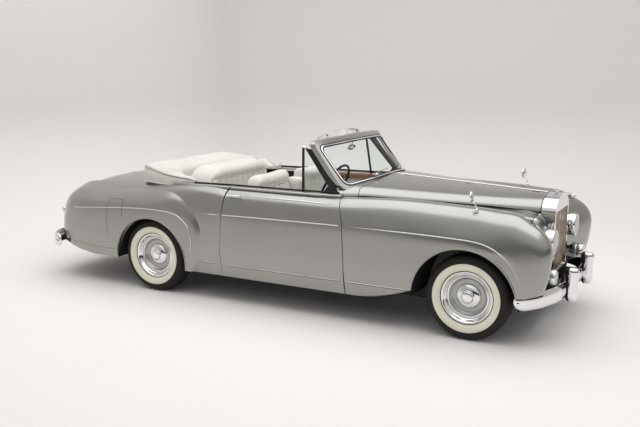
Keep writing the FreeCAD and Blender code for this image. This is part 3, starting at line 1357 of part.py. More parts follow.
def front_seats():
    """The two front seats, the driver's set further back."""
    seats = []
    for side, (x, top) in zip((-1, 1), front_seat_shares):
        y0, y1 = sorted((side * across(0.03), side * across(0.62)))
        rear = x - 0.02
        cushion = soft_block((along(rear), along(rear + 0.55), y0, y1,
                              floor_height + floor_thickness + seat_gap, up(0.62)), seat_round)
        outline = [(0.03, 0), (0.03, top - 0.50), (0.62, top - 0.50), (0.62, 0)]
        back = seat_back([(side * y, z) for y, z in outline], seat_corner, 0, seat_depth)
        back.rotate(Vector(0, 0, 0), Vector(0, 1, 0), -seat_lean)
        back.translate(Vector(along(x) - seat_depth / 2, 0, up(0.50)))
        seats.append(cushion.fuse(back))
    return Part.makeCompound(seats)


def rear_seat():
    """The rear seat, with a back that curves down at its ends."""
    half = across(0.56)
    floor_top = floor_height + floor_thickness + seat_gap
    cushion = soft_block((along(seat_pan_share) + seat_gap, along(-0.72), -half, half, floor_top, up(0.68)),
                         seat_round)
    outline = [(-0.56, boot_floor_share), (-0.56, 1.195), (0.56, 1.195), (0.56, boot_floor_share)]
    depth = along(-1.10) - along(-1.40)
    back = moved(seat_back(outline, rear_seat_corner, along(-1.40), depth), z=seat_gap)
    return cushion.fuse(back)


def hood_ring(outer, inner, low, outer_top, inner_top):
    """One rounded section of the folded hood, between two points of its plan."""
    points = []
    for inward, rise in hood_ring_shares:
        top = outer_top + (inner_top - outer_top) * inward
        x = outer[0] + (inner[0] - outer[0]) * inward
        y = outer[1] + (inner[1] - outer[1]) * inward
        points.append(spot(x, y, low + (top - low) * rise))
    curve = Part.BSplineCurve()
    curve.interpolate(Points=points, PeriodicFlag=True)
    return Part.Wire(curve.toShape())


def folded_hood():
    """The folded hood under its cover, across the car behind the rear seat and forward beside it."""
    deck = moved(tail_face.extrude(Vector(0, 0, -up(1.0))), z=seat_gap)
    halves = []
    for table in (left_hood_shares, right_hood_shares):
        rings = [hood_ring((x, y), (inner_x, inner_y), low, top, inner_top)
                 for x, y, inner_x, inner_y, low, top, inner_top in hood_middle_shares + table]
        half = Part.makeLoft(rings, True, True).cut(box(-far, far, -far, 0, 0, far)).cut(deck)
        halves.append(half)
    return largest(halves[0].fuse(mirrored(halves[1])))


def dashboard():
    """The wooden instrument panel."""
    outline = [(0.30, 0.90), (0.42, 0.90), (0.42, 1.085), (0.36, 1.105), (0.30, 1.09), (0.275, 1.00)]
    board = side_prism(outline, -across(0.55), across(0.55))
    shell = crown_under(scuttle_thickness + seat_gap)
    place, way = steering_place(), steering_axis()
    hole = rod(place - way * steering_wheel_radius * 3, place, column_radius + seat_gap)
    return board.cut([shell, mirrored(shell), hole])


def steering_place():
    """The middle of the steering wheel."""
    return spot(0.141, -0.36, 1.086)


def steering_axis():
    """The direction of the steering column, up towards the driver."""
    lean = math.radians(steering_lean)
    return Vector(-math.cos(lean), 0, math.sin(lean))


def steering_wheel():
    """A thin three-spoke steering wheel with its hub."""
    place, way = steering_place(), steering_axis()
    rim = Part.makeTorus(steering_wheel_radius, steering_rim_radius, place, way)
    hub = rod(place - way * column_radius, place + way * column_radius, column_radius * 1.6)
    side = Vector(0, 1, 0)
    other = way.cross(side)
    spokes = []
    for angle in (90, 210, 330):
        turn = math.radians(angle)
        end = place + (other * math.sin(turn) + side * math.cos(turn)) * steering_wheel_radius
        spokes.append(rod(place, end, steering_rim_radius * 0.5))
    return rim.fuse([hub] + spokes)


def steering_column():
    """The column between the steering wheel and the bulkhead."""
    place, way = steering_place(), steering_axis()
    start = place - way * (column_radius + seat_gap)
    reach = (along(bulkhead_share) - seat_gap - column_radius * way.z - start.x) / -way.x
    return rod(start - way * reach, start, column_radius)


def door_hinge_place():
    """The left door's upright hinge line, inside the wing ahead of the shut line."""
    return Vector(along(door_front_shares[-1][0]) + hinge_set_ahead,
                  across(side_shares[0.45][8][0]) - hinge_set_in,
                  up(0.65))


def bonnet_hinge_line():
    """Two points on the left half's hinge, along the edge of the centre strip."""
    y = centre_strip_width / 2 + shut_gap / 2
    ends = [crown_shares[2], crown_shares[-1]]
    return [Vector(along(x), y, up(ridge)) for x, half, edge, ridge in ends]


def lid_hinge_place():
    """The middle of the boot lid's hinge, at its front edge."""
    return spot(lid_front_share, 0, lid_hinge_share) + Vector(shut_gap / 2, 0, 0)


def tow_hole_place():
    """The middle of the two holes under the rear cross member."""
    low = floor_height - frame_rail_height + rail_kick_height / 3
    return Vector(frame_rear_x() + frame_rail_width, 0, low)


def largest(shape):
    """The largest solid of a shape, without the slivers of a cut."""
    return max(shape.Solids, key=lambda solid: solid.Volume)


def build():
    """Every piece of the car, by the name of its node."""
    front, rear = wheel_place(front_axle_x, front_track), wheel_place(rear_axle_x, rear_track)
    frame, trim, glass = screen_pieces()
    lamp_bodies, lamp_glass = lamps()
    parts = {
        "chassis_frame": chassis_frame(), "floor_pan": floor_pan(), "scuttle": scuttle(),
        "rear_body": rear_body(), "boot_lid": boot_lid(),
        "windscreen_trim": trim, "windscreen_glass": glass, "radiator_shell": radiator_shell(),
        "radiator_grille": radiator_grille(), "front_lamps": lamp_bodies, "lamp_lenses": lamp_glass,
        "front_bumper": front_bumper(), "rear_bumper": rear_bumper(), "tail_lamps": tail_lamps(),
        "wing_mirrors": wing_mirrors(), "folded_hood": folded_hood(), "rear_seat": rear_seat(),
        "front_seats": front_seats(), "dashboard": dashboard(), "steering_column": steering_column(),
        "steering_wheel": steering_wheel(), "engine_block": engine_block(),
        "front_suspension": front_suspension(), "rear_axle": rear_axle(), "exhaust": exhaust()}
    parts["scuttle"] = parts["scuttle"].fuse(frame)
    panel, pane = door(), quarter_glass()
    light, handle = quarter_light(), largest(door_handle().cut(panel))
    pairs = {
        "front_wing": front_wing().cut(parts["scuttle"]), "bonnet": bonnet_half(),
        "door": panel.cut([light, pane]),
        "door_fittings": Part.makeCompound([light, handle]), "quarter_glass": largest(pane.cut(light)),
        "knuckle": knuckle(),
        "front_wheel": wheel(front), "front_tyre": tyre(front), "rear_wheel": wheel(rear),
        "rear_tyre": tyre(rear)}
    for name, shape in pairs.items():
        parts[name + "_left"] = shape
        parts[name + "_right"] = mirrored(shape)
    return parts


def main():
    """Build every piece and write each to its own file."""
    os.makedirs("parts", exist_ok=True)
    for name, shape in build().items():
        shape.exportStep("parts/" + name + ".step")


if __name__ == "__main__":
    main()
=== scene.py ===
"""The looks of a 1950s convertible car: paint, plating, rubber, leather and cloth, in metres."""
import json
import math

import bmesh
import bpy
from mathutils import Matrix, Vector, noise
from mathutils.bvhtree import BVHTree


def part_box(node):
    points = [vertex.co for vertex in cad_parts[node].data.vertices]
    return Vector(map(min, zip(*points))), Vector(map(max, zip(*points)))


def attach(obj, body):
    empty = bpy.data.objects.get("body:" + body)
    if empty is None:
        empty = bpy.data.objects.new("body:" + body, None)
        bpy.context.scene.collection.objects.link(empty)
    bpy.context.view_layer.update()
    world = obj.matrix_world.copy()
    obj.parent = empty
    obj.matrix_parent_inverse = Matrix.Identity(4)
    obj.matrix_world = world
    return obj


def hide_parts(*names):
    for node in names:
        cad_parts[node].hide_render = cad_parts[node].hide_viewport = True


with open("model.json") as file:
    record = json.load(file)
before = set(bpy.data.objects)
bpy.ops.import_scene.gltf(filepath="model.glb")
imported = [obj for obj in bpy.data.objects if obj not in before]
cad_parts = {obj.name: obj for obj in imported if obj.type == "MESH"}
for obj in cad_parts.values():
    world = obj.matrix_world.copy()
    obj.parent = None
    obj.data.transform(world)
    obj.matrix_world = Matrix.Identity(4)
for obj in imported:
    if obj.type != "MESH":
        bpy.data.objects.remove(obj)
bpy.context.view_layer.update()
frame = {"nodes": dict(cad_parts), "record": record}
nodes = frame["nodes"]
sides = (("right", -1), ("left", 1))


# Shader arithmetic

class Amount:
    """A number that a shader works out, with ordinary arithmetic."""

    def __init__(self, recipe, socket):
        self.recipe = recipe
        self.socket = socket

    def math(self, operation, *others):
        made = self.recipe.node("ShaderNodeMath", {"operation": operation},
                                {index: value for index, value in enumerate((self,) + others)})
        return Amount(self.recipe, made.outputs[0])

    def swapped(self, operation, other):
        made = self.recipe.node("ShaderNodeMath", {"operation": operation}, {0: other, 1: self})
        return Amount(self.recipe, made.outputs[0])

    def __add__(self, other):
        return self.math("ADD", other)

    def __radd__(self, other):
        return self.math("ADD", other)

    def __sub__(self, other):
        return self.math("SUBTRACT", other)

    def __rsub__(self, other):
        return self.swapped("SUBTRACT", other)

    def __mul__(self, other):
        return self.math("MULTIPLY", other)

    def __rmul__(self, other):
        return self.math("MULTIPLY", other)

    def sine(self):
        return self.math("SINE")


class Recipe:
    """One material, or the studio's surround, and the nodes that make it."""

    def __init__(self, name, store=bpy.data.materials, shader="Principled BSDF", place="Object"):
        self.material = store.new(name)
        self.material.use_nodes = True
        self.tree = self.material.node_tree
        self.shader = self.tree.nodes[shader]
        self.place = self.node("ShaderNodeTexCoord", {}, {}).outputs[place]

    def node(self, kind, settings, sockets):
        """Adds a node, sets its settings first, then the values or links of its sockets."""
        made = self.tree.nodes.new(kind)
        for name, value in settings.items():
            if name == "stops":
                self.set_stops(made, value)
            else:
                setattr(made, name, value)
        for name, value in sockets.items():
            self.feed(made.inputs[name], value)
        return made

    def set_stops(self, ramp, stops):
        """Gives a colour ramp its stops, as places and grey levels or colours."""
        elements = ramp.color_ramp.elements
        while len(elements) < len(stops):
            elements.new(1.0)
        for element, (place, colour) in zip(elements, stops):
            element.position = place
            element.color = (*colour, 1) if isinstance(colour, tuple) else (colour, colour, colour, 1)

    def feed(self, socket, value):
        """Sets a socket to a value, or links it to what works the value out."""
        if isinstance(value, Amount):
            self.tree.links.new(value.socket, socket)
        elif isinstance(value, bpy.types.NodeSocket):
            self.tree.links.new(value, socket)
        elif isinstance(value, tuple) and len(value) == 3 and socket.type == "RGBA":
            socket.default_value = (*value, 1)
        else:
            socket.default_value = value

    def axes(self):
        """The place on the piece as three amounts."""
        parts = self.node("ShaderNodeSeparateXYZ", {}, {0: self.place})
        return [Amount(self, output) for output in parts.outputs]

    def noise(self, scale, detail=2.0, stretch=(1, 1, 1)):
        """A soft random pattern, about 0.5 in the middle."""
        place = self.node("ShaderNodeMapping", {}, {"Vector": self.place, "Scale": stretch})
        made = self.node("ShaderNodeTexNoise", {}, {"Vector": place.outputs[0], "Scale": scale,
                                                    "Detail": detail})
        return Amount(self, made.outputs[0])

    def mix(self, share, first, second):
        """A colour between two colours."""
        made = self.node("ShaderNodeMix", {"data_type": "RGBA"}, {0: share, 6: first, 7: second})
        return made.outputs[2]

    def bump(self, height, depth):
        """A surface relief from a height pattern, with its depth in metres."""
        return self.node("ShaderNodeBump", {}, {"Height": height, "Distance": depth}).outputs[0]

    def finish(self, colour, roughness, normal=None, **values):
        """Feeds the main shader."""
        self.feed(self.shader.inputs["Base Color"], colour)
        self.feed(self.shader.inputs["Roughness"], roughness)
        if normal is not None:
            self.feed(self.shader.inputs["Normal"], normal)
        for name, value in values.items():
            self.feed(self.shader.inputs[name.replace("_", " ")], value)
        return self.material


# Finishes

def silver_paint():
    """Silver-grey metallic paint under a clear coat."""
    paint = Recipe("silver_paint")
    cloud = paint.noise(3.0, 2.0)
    fleck = paint.noise(900.0, 1.0)
    light, dark = (0.375, 0.372, 0.352), (0.325, 0.322, 0.304)
    colour = paint.mix(cloud * 0.6 + fleck * 0.4, dark, light)
    return paint.finish(colour, cloud * 0.04 + 0.24, Metallic=0.88, Coat_Weight=0.4, Coat_Roughness=0.06)


def edge_paint():
    """A lighter copy of the body paint for raised lines: a painted highlight along them."""
    paint = Recipe("edge_paint")
    cloud = paint.noise(3.0, 2.0)
    colour = paint.mix(cloud, (0.62, 0.615, 0.59), (0.70, 0.695, 0.67))
    return paint.finish(colour, 0.22, Metallic=0.85, Coat_Weight=0.5, Coat_Roughness=0.05)


def bright_plate():
    """Polished chrome with faint wiping marks."""
    plate = Recipe("bright_plate")
    wipe = plate.noise(40.0, 3.0, (1, 1, 4))
    return plate.finish((0.83, 0.83, 0.84), wipe * 0.06 + 0.04, Metallic=1.0)


def clear_glass():
    """Clear window glass with a faint green edge."""
    glass = Recipe("clear_glass")
    dust = glass.noise(6.0, 3.0)
    return glass.finish((0.93, 0.97, 0.955), dust * 0.03, Transmission_Weight=1.0, IOR=1.05,
                        Specular_IOR_Level=1.0)


def lamp_glass(name="lamp_glass", colour=(0.93, 0.94, 0.92), clear=0.42):
    """Moulded lamp glass with upright ribs."""
    glass = Recipe(name)
    x, y, z = glass.axes()
    ribs = (y * 900.0).sine() * 0.5 + 0.5
    normal = glass.bump(ribs, 0.0012)
    return glass.finish(colour, 0.10, normal, Transmission_Weight=clear, IOR=1.4, Coat_Weight=0.6)


def plain_metal(name, colour, rough, metallic, grain=60.0):
    """A plain painted or bare metal with slight mottling."""
    metal = Recipe(name)
    mottle = metal.noise(grain, 3.0)
    dark = tuple(part * 0.8 for part in colour)
    normal = metal.bump(mottle, 0.0004)
    return metal.finish(metal.mix(mottle, dark, colour), mottle * 0.15 + rough, normal, Metallic=metallic)


def leather():
    """Light hide with a fine grain."""
    hide = Recipe("seat_leather")
    colour = (0.79, 0.775, 0.735)
    cloud = hide.noise(5.0, 3.0)
    grain = hide.noise(420.0, 4.0)
    crease = hide.noise(24.0, 3.0)
    dark = tuple(part * 0.86 for part in colour)
    height = grain * 0.35 + crease * 0.65
    return hide.finish(hide.mix(cloud, dark, colour), grain * 0.12 + 0.42, hide.bump(height, 0.0016))


def cover_cloth():
    """Off-white cover cloth with a fine weave."""
    cloth = Recipe("cover_cloth")
    x, y, z = cloth.axes()
    weave = (x * 2600.0).sine() * (y * 2600.0).sine()
    cloud = cloth.noise(4.0, 4.0)
    height = weave * 0.15 + cloth.noise(60.0, 4.0) * 0.85
    colour = cloth.mix(cloud, (0.66, 0.645, 0.61), (0.76, 0.745, 0.71))
    return cloth.finish(colour, 0.82, cloth.bump(height, 0.002), Sheen_Weight=0.15)


def walnut():
    """Varnished walnut with long grain."""
    wood = Recipe("walnut")
    grain = wood.noise(14.0, 6.0, (1, 0.25, 2.5))
    rings = (grain * 46.0).sine() * 0.5 + 0.5
    colour = wood.mix(rings, (0.16, 0.065, 0.03), (0.36, 0.17, 0.08))
    return wood.finish(colour, 0.22, Coat_Weight=0.6, Coat_Roughness=0.05)


def tyre_rubber():
    """Black rubber, a little dusty."""
    rubber = Recipe("tyre_rubber")
    dust = rubber.noise(30.0, 4.0)
    colour = rubber.mix(dust, (0.006, 0.006, 0.0055), (0.015, 0.0145, 0.013))
    return rubber.finish(colour, dust * 0.15 + 0.72, rubber.bump(rubber.noise(300.0, 2.0), 0.0005))


def whitewall_rubber():
    """Cream rubber of the tyres' pale bands."""
    rubber = Recipe("whitewall_rubber")
    cloud = rubber.noise(12.0, 3.0)
    return rubber.finish(rubber.mix(cloud, (0.76, 0.745, 0.60), (0.84, 0.825, 0.68)), cloud * 0.1 + 0.5,
                         rubber.bump(rubber.noise(200.0, 2.0), 0.0003))


def carpet():
    """Short grey carpet."""
    pile = Recipe("carpet")
    tuft = pile.noise(700.0, 2.0)
    cloud = pile.noise(8.0, 2.0)
    return pile.finish(pile.mix(cloud, (0.10, 0.10, 0.095), (0.16, 0.155, 0.15)), 0.95,
                       pile.bump(tuft, 0.004))


def red_lens():
    """Ribbed red lamp glass."""
    lens = Recipe("red_lens")
    x, y, z = lens.axes()
    rings = (z * 1200.0).sine() * 0.5 + 0.5
    return lens.finish((0.45, 0.015, 0.012), 0.12, lens.bump(rings, 0.001), Coat_Weight=0.5)


finishes = {
    "body_paint": silver_paint(), "edge_paint": edge_paint(), "bright_plate": bright_plate(),
    "clear_glass": clear_glass(), "lamp_glass": lamp_glass(), "red_lens": red_lens(),
    "grille_bronze": plain_metal("grille_bronze", (0.80, 0.66, 0.53), 0.16, 1.0),
    "chassis_black": plain_metal("chassis_black", (0.008, 0.008, 0.008), 0.5, 0.0),
    "floor_paint": plain_metal("floor_paint", (0.012, 0.012, 0.012), 0.6, 0.0),
    "hood_cloth": cover_cloth(), "seat_leather": leather(), "dash_wood": walnut(),
    "dark_plastic": plain_metal("dark_plastic", (0.015, 0.014, 0.013), 0.16, 0.0, 8.0),
    "engine_iron": plain_metal("engine_iron", (0.16, 0.16, 0.16), 0.55, 0.5),
    "exhaust_steel": plain_metal("exhaust_steel", (0.28, 0.26, 0.24), 0.45, 0.9),
    "wheel_steel": plain_metal("wheel_steel", (0.48, 0.48, 0.46), 0.24, 0.8, 20.0),
    "tyre_rubber": tyre_rubber(),
}
whitewall = whitewall_rubber()
gasket = plain_metal("gasket_rubber", (0.008, 0.008, 0.008), 0.6, 0.0)
underseal = plain_metal("underseal", (0.004, 0.004, 0.004), 0.85, 0.0)
floor_carpet = carpet()
# A darker grey for the thin line beside the hood's seams: painted shade along each seam.
painted_seam_shade = plain_metal("painted_seam_shade", (0.22, 0.215, 0.20), 0.8, 0.0)
fog_glass = lamp_glass("fog_glass", (0.90, 0.88, 0.76), 0.15)
chrome, hide, paint = finishes["bright_plate"], finishes["seat_leather"], finishes["body_paint"]

finish_slots = {material: slot for slot, material in finishes.items()}
finish_slots.update({finishes["edge_paint"]: "body_paint", gasket: "dark_plastic", underseal: "chassis_black",
                     floor_carpet: "floor_paint", painted_seam_shade: "hood_cloth", fog_glass: "lamp_glass"})


def dress(mesh, materials):
    """Gives a mesh its finishes in place of those it has."""
    if mesh.materials:  # clear() also resets the faces' material numbers, which new meshes need
        mesh.materials.clear()
    for material in materials:
        mesh.materials.append(material)


for part in frame["record"]["subparts"]:
    dress(nodes[part["node"]].data, [finishes[part["material_slot"]]])


# Shapes

def placed(name, mesh, materials, body):
    """Puts a finished mesh into the scene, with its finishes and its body."""
    made = bpy.data.objects.new(name, mesh)
    bpy.context.collection.objects.link(made)
    dress(mesh, materials)
    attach(made, body)
    return made


def piece(name, shape, materials, body="car_body", smooth=True):
    """Makes a piece from a bmesh."""
    mesh = bpy.data.meshes.new(name)
    shape.to_mesh(mesh)
    shape.free()
    if smooth:
        mesh.shade_smooth()
    return placed(name, mesh, materials, body)


def subdivided(made, levels):
    """Rounds a piece with live subdivision."""
    soft = made.modifiers.new("soft", "SUBSURF")
    soft.levels = soft.render_levels = levels


def search_tree(mesh):
    """A search tree of a mesh, for finding places on its surface."""
    return BVHTree.FromPolygons([vertex.co for vertex in mesh.vertices],
                                [tuple(face.vertices) for face in mesh.polygons])


def spun(profile, steps, bands=()):
    """Turns a closed (radius, reach) outline about Y, with a finish for each band of radius."""
    shape = bmesh.new()
    points = [shape.verts.new((0, reach, radius)) for radius, reach in profile]
    edges = [shape.edges.new((first, second)) for first, second in zip(points, points[1:] + points[:1])]
    bmesh.ops.spin(shape, geom=points + edges, cent=(0, 0, 0), axis=(0, 1, 0), angle=math.tau, steps=steps,
                   use_merge=True, use_duplicate=False)
    bmesh.ops.remove_doubles(shape, verts=shape.verts, dist=1e-5)
    bmesh.ops.recalc_face_normals(shape, faces=shape.faces)
    for face in shape.faces:
        middle = face.calc_center_median()
        radius = math.hypot(middle.x, middle.z)
        for index, (low, high) in enumerate(bands, 1):
            if low < radius < high:
                face.material_index = index
    return shape


def centre_of(node):
    """The middle of a node's box."""
    low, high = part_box(node)
    return (low + high) / 2


tyre_radius = 0.350
bead_radius = 0.2036
white_low, white_high = 0.221, 0.281
tread_depth = 0.006
tread_crown = 0.0022
tread_half = 0.06
groove_places = (-0.052, -0.026, 0.0, 0.026, 0.052)
groove_half = 0.0035
groove_foot_share = 0.6
shoulder_radius, shoulder_low, shoulder_high = 0.336, 0.056, 0.085
shoulder_cut_share = 0.9925
tyre_steps, wheel_steps = 144, 96
whitewall_face, disc_face = 0.05, 0.012
disc_bands = ((0.0, 0.104), (0.1585, 0.175), (0.1795, 0.2176))


def tyre_outline():
    """The section of a tyre, from bead to bead over the tread."""
    side = [(bead_radius, 0.059), (0.219, 0.060), (0.221, 0.084), (0.2245, 0.094), (0.232, 0.1015),
            (0.245, 0.1065), (0.262, 0.1075), (0.279, 0.1068), (0.281, 0.1052), (0.283, 0.1062),
            (0.300, 0.1035), (0.318, 0.0965), (0.331, 0.088), (0.340, 0.079), (0.3455, 0.071)]
    tread = []
    for place in groove_places[::-1]:
        edge = tyre_radius - tread_crown * (abs(place) / tread_half) ** 2
        foot, foot_half = edge - tread_depth, groove_half * groove_foot_share
        tread += [(edge, place + groove_half), (foot, place + foot_half), (foot, place - foot_half),
                  (edge, place - groove_half)]
    other = [(radius, -reach) for radius, reach in side[::-1]]
    return side + tread + other


def cut_tread(shape, steps):
    """Cuts short slots into the shoulders of a tyre's tread."""
    for face in shape.faces:
        middle = face.calc_center_median()
        radius = math.hypot(middle.x, middle.z)
        if radius > shoulder_radius and shoulder_low < abs(middle.y) < shoulder_high:
            turn = int((math.atan2(middle.z, middle.x) + math.pi) / math.tau * steps)
            if turn % 3 == 0:
                for vertex in face.verts:
                    vertex.co.x *= shoulder_cut_share
                    vertex.co.z *= shoulder_cut_share


# The section of a pressed wheel with its trim ring, disc and domed cap, seen from outside
wheel_outline = (
    (0.0, 0.074), (0.020, 0.0738), (0.034, 0.0725), (0.042, 0.0700), (0.0465, 0.0655), (0.048, 0.059),
    (0.050, 0.0545), (0.060, 0.0525), (0.078, 0.0475), (0.092, 0.0405), (0.100, 0.0325), (0.1035, 0.025),
    (0.104, 0.0165), (0.108, 0.0185), (0.122, 0.0145), (0.136, 0.0165), (0.148, 0.0265), (0.156, 0.041),
    (0.1600, 0.0475), (0.1655, 0.0495), (0.1685, 0.047), (0.172, 0.0455), (0.180, 0.049), (0.188, 0.059),
    (0.1945, 0.072), (0.2005, 0.0805), (0.207, 0.0845), (0.2130, 0.0840), (0.2170, 0.0800), (0.2175, 0.0745),
    (0.203, 0.069), (0.203, 0.045), (0.177, 0.030), (0.177, -0.030), (0.203, -0.045), (0.203, -0.069),
    (0.211, -0.075), (0.197, -0.075), (0.171, -0.030), (0.165, 0.006), (0.130, 0.0), (0.130, -0.060),
    (0.122, -0.060), (0.122, -0.012), (0.062, -0.012), (0.062, -0.045), (0.0305, -0.045), (0.0305, 0.037),
    (0.0, 0.037))


def mirror_shape(shape):
    """Turns a left shape into a right one."""
    bmesh.ops.scale(shape, vec=(1, -1, 1), verts=shape.verts)
    bmesh.ops.reverse_faces(shape, faces=shape.faces)


def wheels():
    """The four tyres and wheels."""
    for end in ("front", "rear"):
        for side, sign in sides:
            body = f"wheel_{end}_{side}"
            place = centre_of(f"{end}_tyre_{side}")
            shape = spun(tyre_outline(), tyre_steps, [(white_low, white_high)])
            rim = spun(wheel_outline, wheel_steps, disc_bands)
            for made, face_reach in ((shape, whitewall_face), (rim, disc_face)):
                for face in made.faces:
                    if face.calc_center_median().y < face_reach:
                        face.material_index = 0
            cut_tread(shape, tyre_steps)
            for made in (shape, rim):
                if sign < 0:
                    mirror_shape(made)
                bmesh.ops.translate(made, vec=place, verts=made.verts)
            tyre = piece(f"tyre_{end}_{side}", shape, [finishes["tyre_rubber"], whitewall], body)
            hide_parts(f"{end}_tyre_{side}")
            wheel = piece(f"wheel_{end}_{side}", rim, [finishes["wheel_steel"], chrome, chrome, chrome], body)
            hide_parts(f"{end}_wheel_{side}")


# Lines and mouldings on the panels

wheelbase_middle = 0.3525
front_arch = (1.545, 0.320, 0.435)
rear_arch = (-1.570, 0.300, 0.418)
door_front_gap, door_rear_gap = 0.487, -0.7535
swage = ((-0.93, 0.819), (-0.43, 0.830), (0.45, 0.840), (1.05, 0.839), (1.43, 0.833), (1.63, 0.822),
         (1.763, 0.788), (1.881, 0.715), (1.960, 0.625), (1.985, 0.560))
haunch_crease = ((-2.56, 0.742), (-2.50, 0.749), (-1.969, 0.792), (-1.586, 0.811), (-1.311, 0.799),
                 (-1.179, 0.747), (-1.094, 0.646), (-1.078, 0.502), (-1.090, 0.400))
sill_line = ((-1.000, 0.366), (0.10, 0.366), (1.083, 0.366))
tail_line = ((-2.02, 0.385), (-2.30, 0.388), (-2.62, 0.412))
shells = {}
outside, ray_reach, side_least = 1.3, 0.9, 0.55
swage_radius = 0.0055
arch_lip_radius, arch_lip_rise, arch_steps = 0.006, 0.004, 72
bead_sides = 3


def spot(x, y, z):
    """A place given from the middle of the wheelbase."""
    return Vector((x + wheelbase_middle, y, z))


def shell_of(node):
    """The search tree of a carried-over piece."""
    if node not in shells:
        shells[node] = search_tree(nodes[node].data)
    return shells[node]


def skin_point(node, x, z, sign, lift):
    """The place on a side panel at an x and z, lifted off it, or nothing where there is none."""
    start = spot(x, sign * outside, z)
    place, normal, face, reach = shell_of(node).ray_cast(start, Vector((0, -sign, 0)), ray_reach)
    if place is None or abs(place.y) < side_least:
        return None
    if normal.y * sign < 0:
        normal = -normal
    return place + normal * lift


def curve_place(before, first, second, after, t):
    """A value on a soft curve, part of the way from the first to the second."""
    return 0.5 * (2 * first + (second - before) * t + (2 * before - 5 * first + 4 * second - after) * t ** 2
                  + (3 * first - before - 3 * second + after) * t ** 3)


def smoothed(points, steps):
    """More points on a soft curve through a few."""
    path = [Vector(point) for point in points]
    path = [path[0] * 2 - path[1]] + path + [path[-1] * 2 - path[-2]]
    made = []
    for index in range(1, len(path) - 2):
        made += [curve_place(*path[index - 1:index + 3], step / steps) for step in range(steps)]
    return made + [Vector(points[-1])]


def bead(name, points, radius, material, body="car_body", taper=0.0):
    """A thin rounded moulding along points, which can fade out at its ends."""
    line = bpy.data.curves.new(name, "CURVE")
    line.dimensions = "3D"
    line.bevel_depth = radius
    line.bevel_resolution = bead_sides
    line.use_fill_caps = True
    spline = line.splines.new("POLY")
    spline.points.add(len(points) - 1)
    for index, (target, point) in enumerate(zip(spline.points, points)):
        target.co = (*point, 1)
        near = min(index, len(points) - 1 - index) / (len(points) - 1)
        target.radius = min(1.0, near / taper + 0.1) if taper else 1.0
    holder = bpy.data.objects.new(name + "_line", line)
    bpy.context.collection.objects.link(holder)
    mesh = bpy.data.meshes.new_from_object(holder)
    bpy.data.objects.remove(holder)
    mesh.name = name
    mesh.shade_smooth()
    return placed(name, mesh, [material], body)


# By default a moulding takes the lighter paint, a painted highlight along the line.
def panel_bead(name, node, points, sign, body, radius, lift, steps=14, material="edge_paint", taper=0.0,
               low=-math.inf, high=math.inf):
    """A moulding that follows a side panel along (x, z) points, kept between two places."""
    found = []
    for point in smoothed([(x, 0, z) for x, z in points], steps):
        if low <= point.x <= high:
            place = skin_point(node, point.x, point.z, sign, lift)
            if place is not None:
                found.append(place)
    if len(found) > 2:
        bead(name, found, radius, finishes[material], body, taper)


def arch_bead(name, node, arch_shape, sign, start, end):
    """The rolled lip of a wheel arch."""
    x, z, radius = arch_shape
    reach = radius + arch_lip_rise
    found = []
    for step in range(arch_steps + 1):
        turn = math.radians(start + (end - start) * step / arch_steps)
        place = skin_point(node, x + math.cos(turn) * reach, z + math.sin(turn) * reach, sign, 0.0)
        if place is not None:
            found.append(place)
    bead(name, found, arch_lip_radius, paint)


def beads():
    """The raised lines, arch lips and sill lines of both sides."""
    for side, sign in sides:
        door, wing = f"door_{side}", f"front_wing_{side}"
        # The swage lines and the haunch crease are beads in the lighter paint, a painted highlight.
        panel_bead(f"swage_rear_{side}", "rear_body", swage, sign, "car_body", swage_radius, 0.001,
                   high=door_rear_gap - 0.006, taper=0.4)
        panel_bead(f"swage_door_{side}", door, swage, sign, door, swage_radius, 0.001,
                   low=door_rear_gap + 0.004, high=door_front_gap + 0.008)
        panel_bead(f"swage_wing_{side}", wing, swage, sign, "car_body", swage_radius, 0.001,
                   low=door_front_gap + 0.018, taper=0.12)
        panel_bead(f"wing_crease_{side}", "rear_body", haunch_crease, sign, "car_body", swage_radius, 0.0015,
                   taper=0.1)
        # Each sill and tail line is a bead in the lighter paint, a painted highlight, with a thin dark bead
        # 6.5 mm under it, a painted shadow line.
        for part, drop, radius, material in (("line", 0.0, 0.0045, "edge_paint"),
                                             ("shade", 0.0065, 0.0024, "dark_plastic")):
            for name, node, body, points, low, high in (
                    ("sill_{}_rear", "rear_body", "car_body", sill_line, -math.inf, door_rear_gap - 0.012),
                    ("sill_{}_door", door, door, sill_line, door_rear_gap - 0.006, 0.499),
                    ("sill_{}_wing", wing, "car_body", sill_line, 0.512, math.inf),
                    ("tail_{}", "rear_body", "car_body", tail_line, -math.inf, math.inf)):
                line = [(x, z - drop) for x, z in points]
                panel_bead(f"{name.format(part)}_{side}", node, line, sign, body, radius, 0.001,
                           material=material, low=low, high=high)
        arch_bead(f"front_arch_lip_{side}", wing, front_arch, sign, -4, 184)
        arch_bead(f"rear_arch_lip_{side}", "rear_body", rear_arch, sign, -5, 185)


# Seats

cloth_steps, cloth_quality, cloth_mass = 20, 5, 0.3
pad_pressure, pad_fill = 4.0, 0.85
pad_round, pad_cell, pad_thin_cuts = 0.06, 0.0082, 7
piping_radius, piping_steps = 0.0045, 24
pleat_width = 0.095
pleat_depth = 0.022
edge_width = 0.062
back_cuts, back_cap, cushion_cuts, cushion_cap = 34, 0.014, 30, 0.012
back_full, back_full_behind, cushion_full = 0.014, 0.010, 0.022
roll_height, roll_full, roll_seam = 0.13, 0.014, 0.010


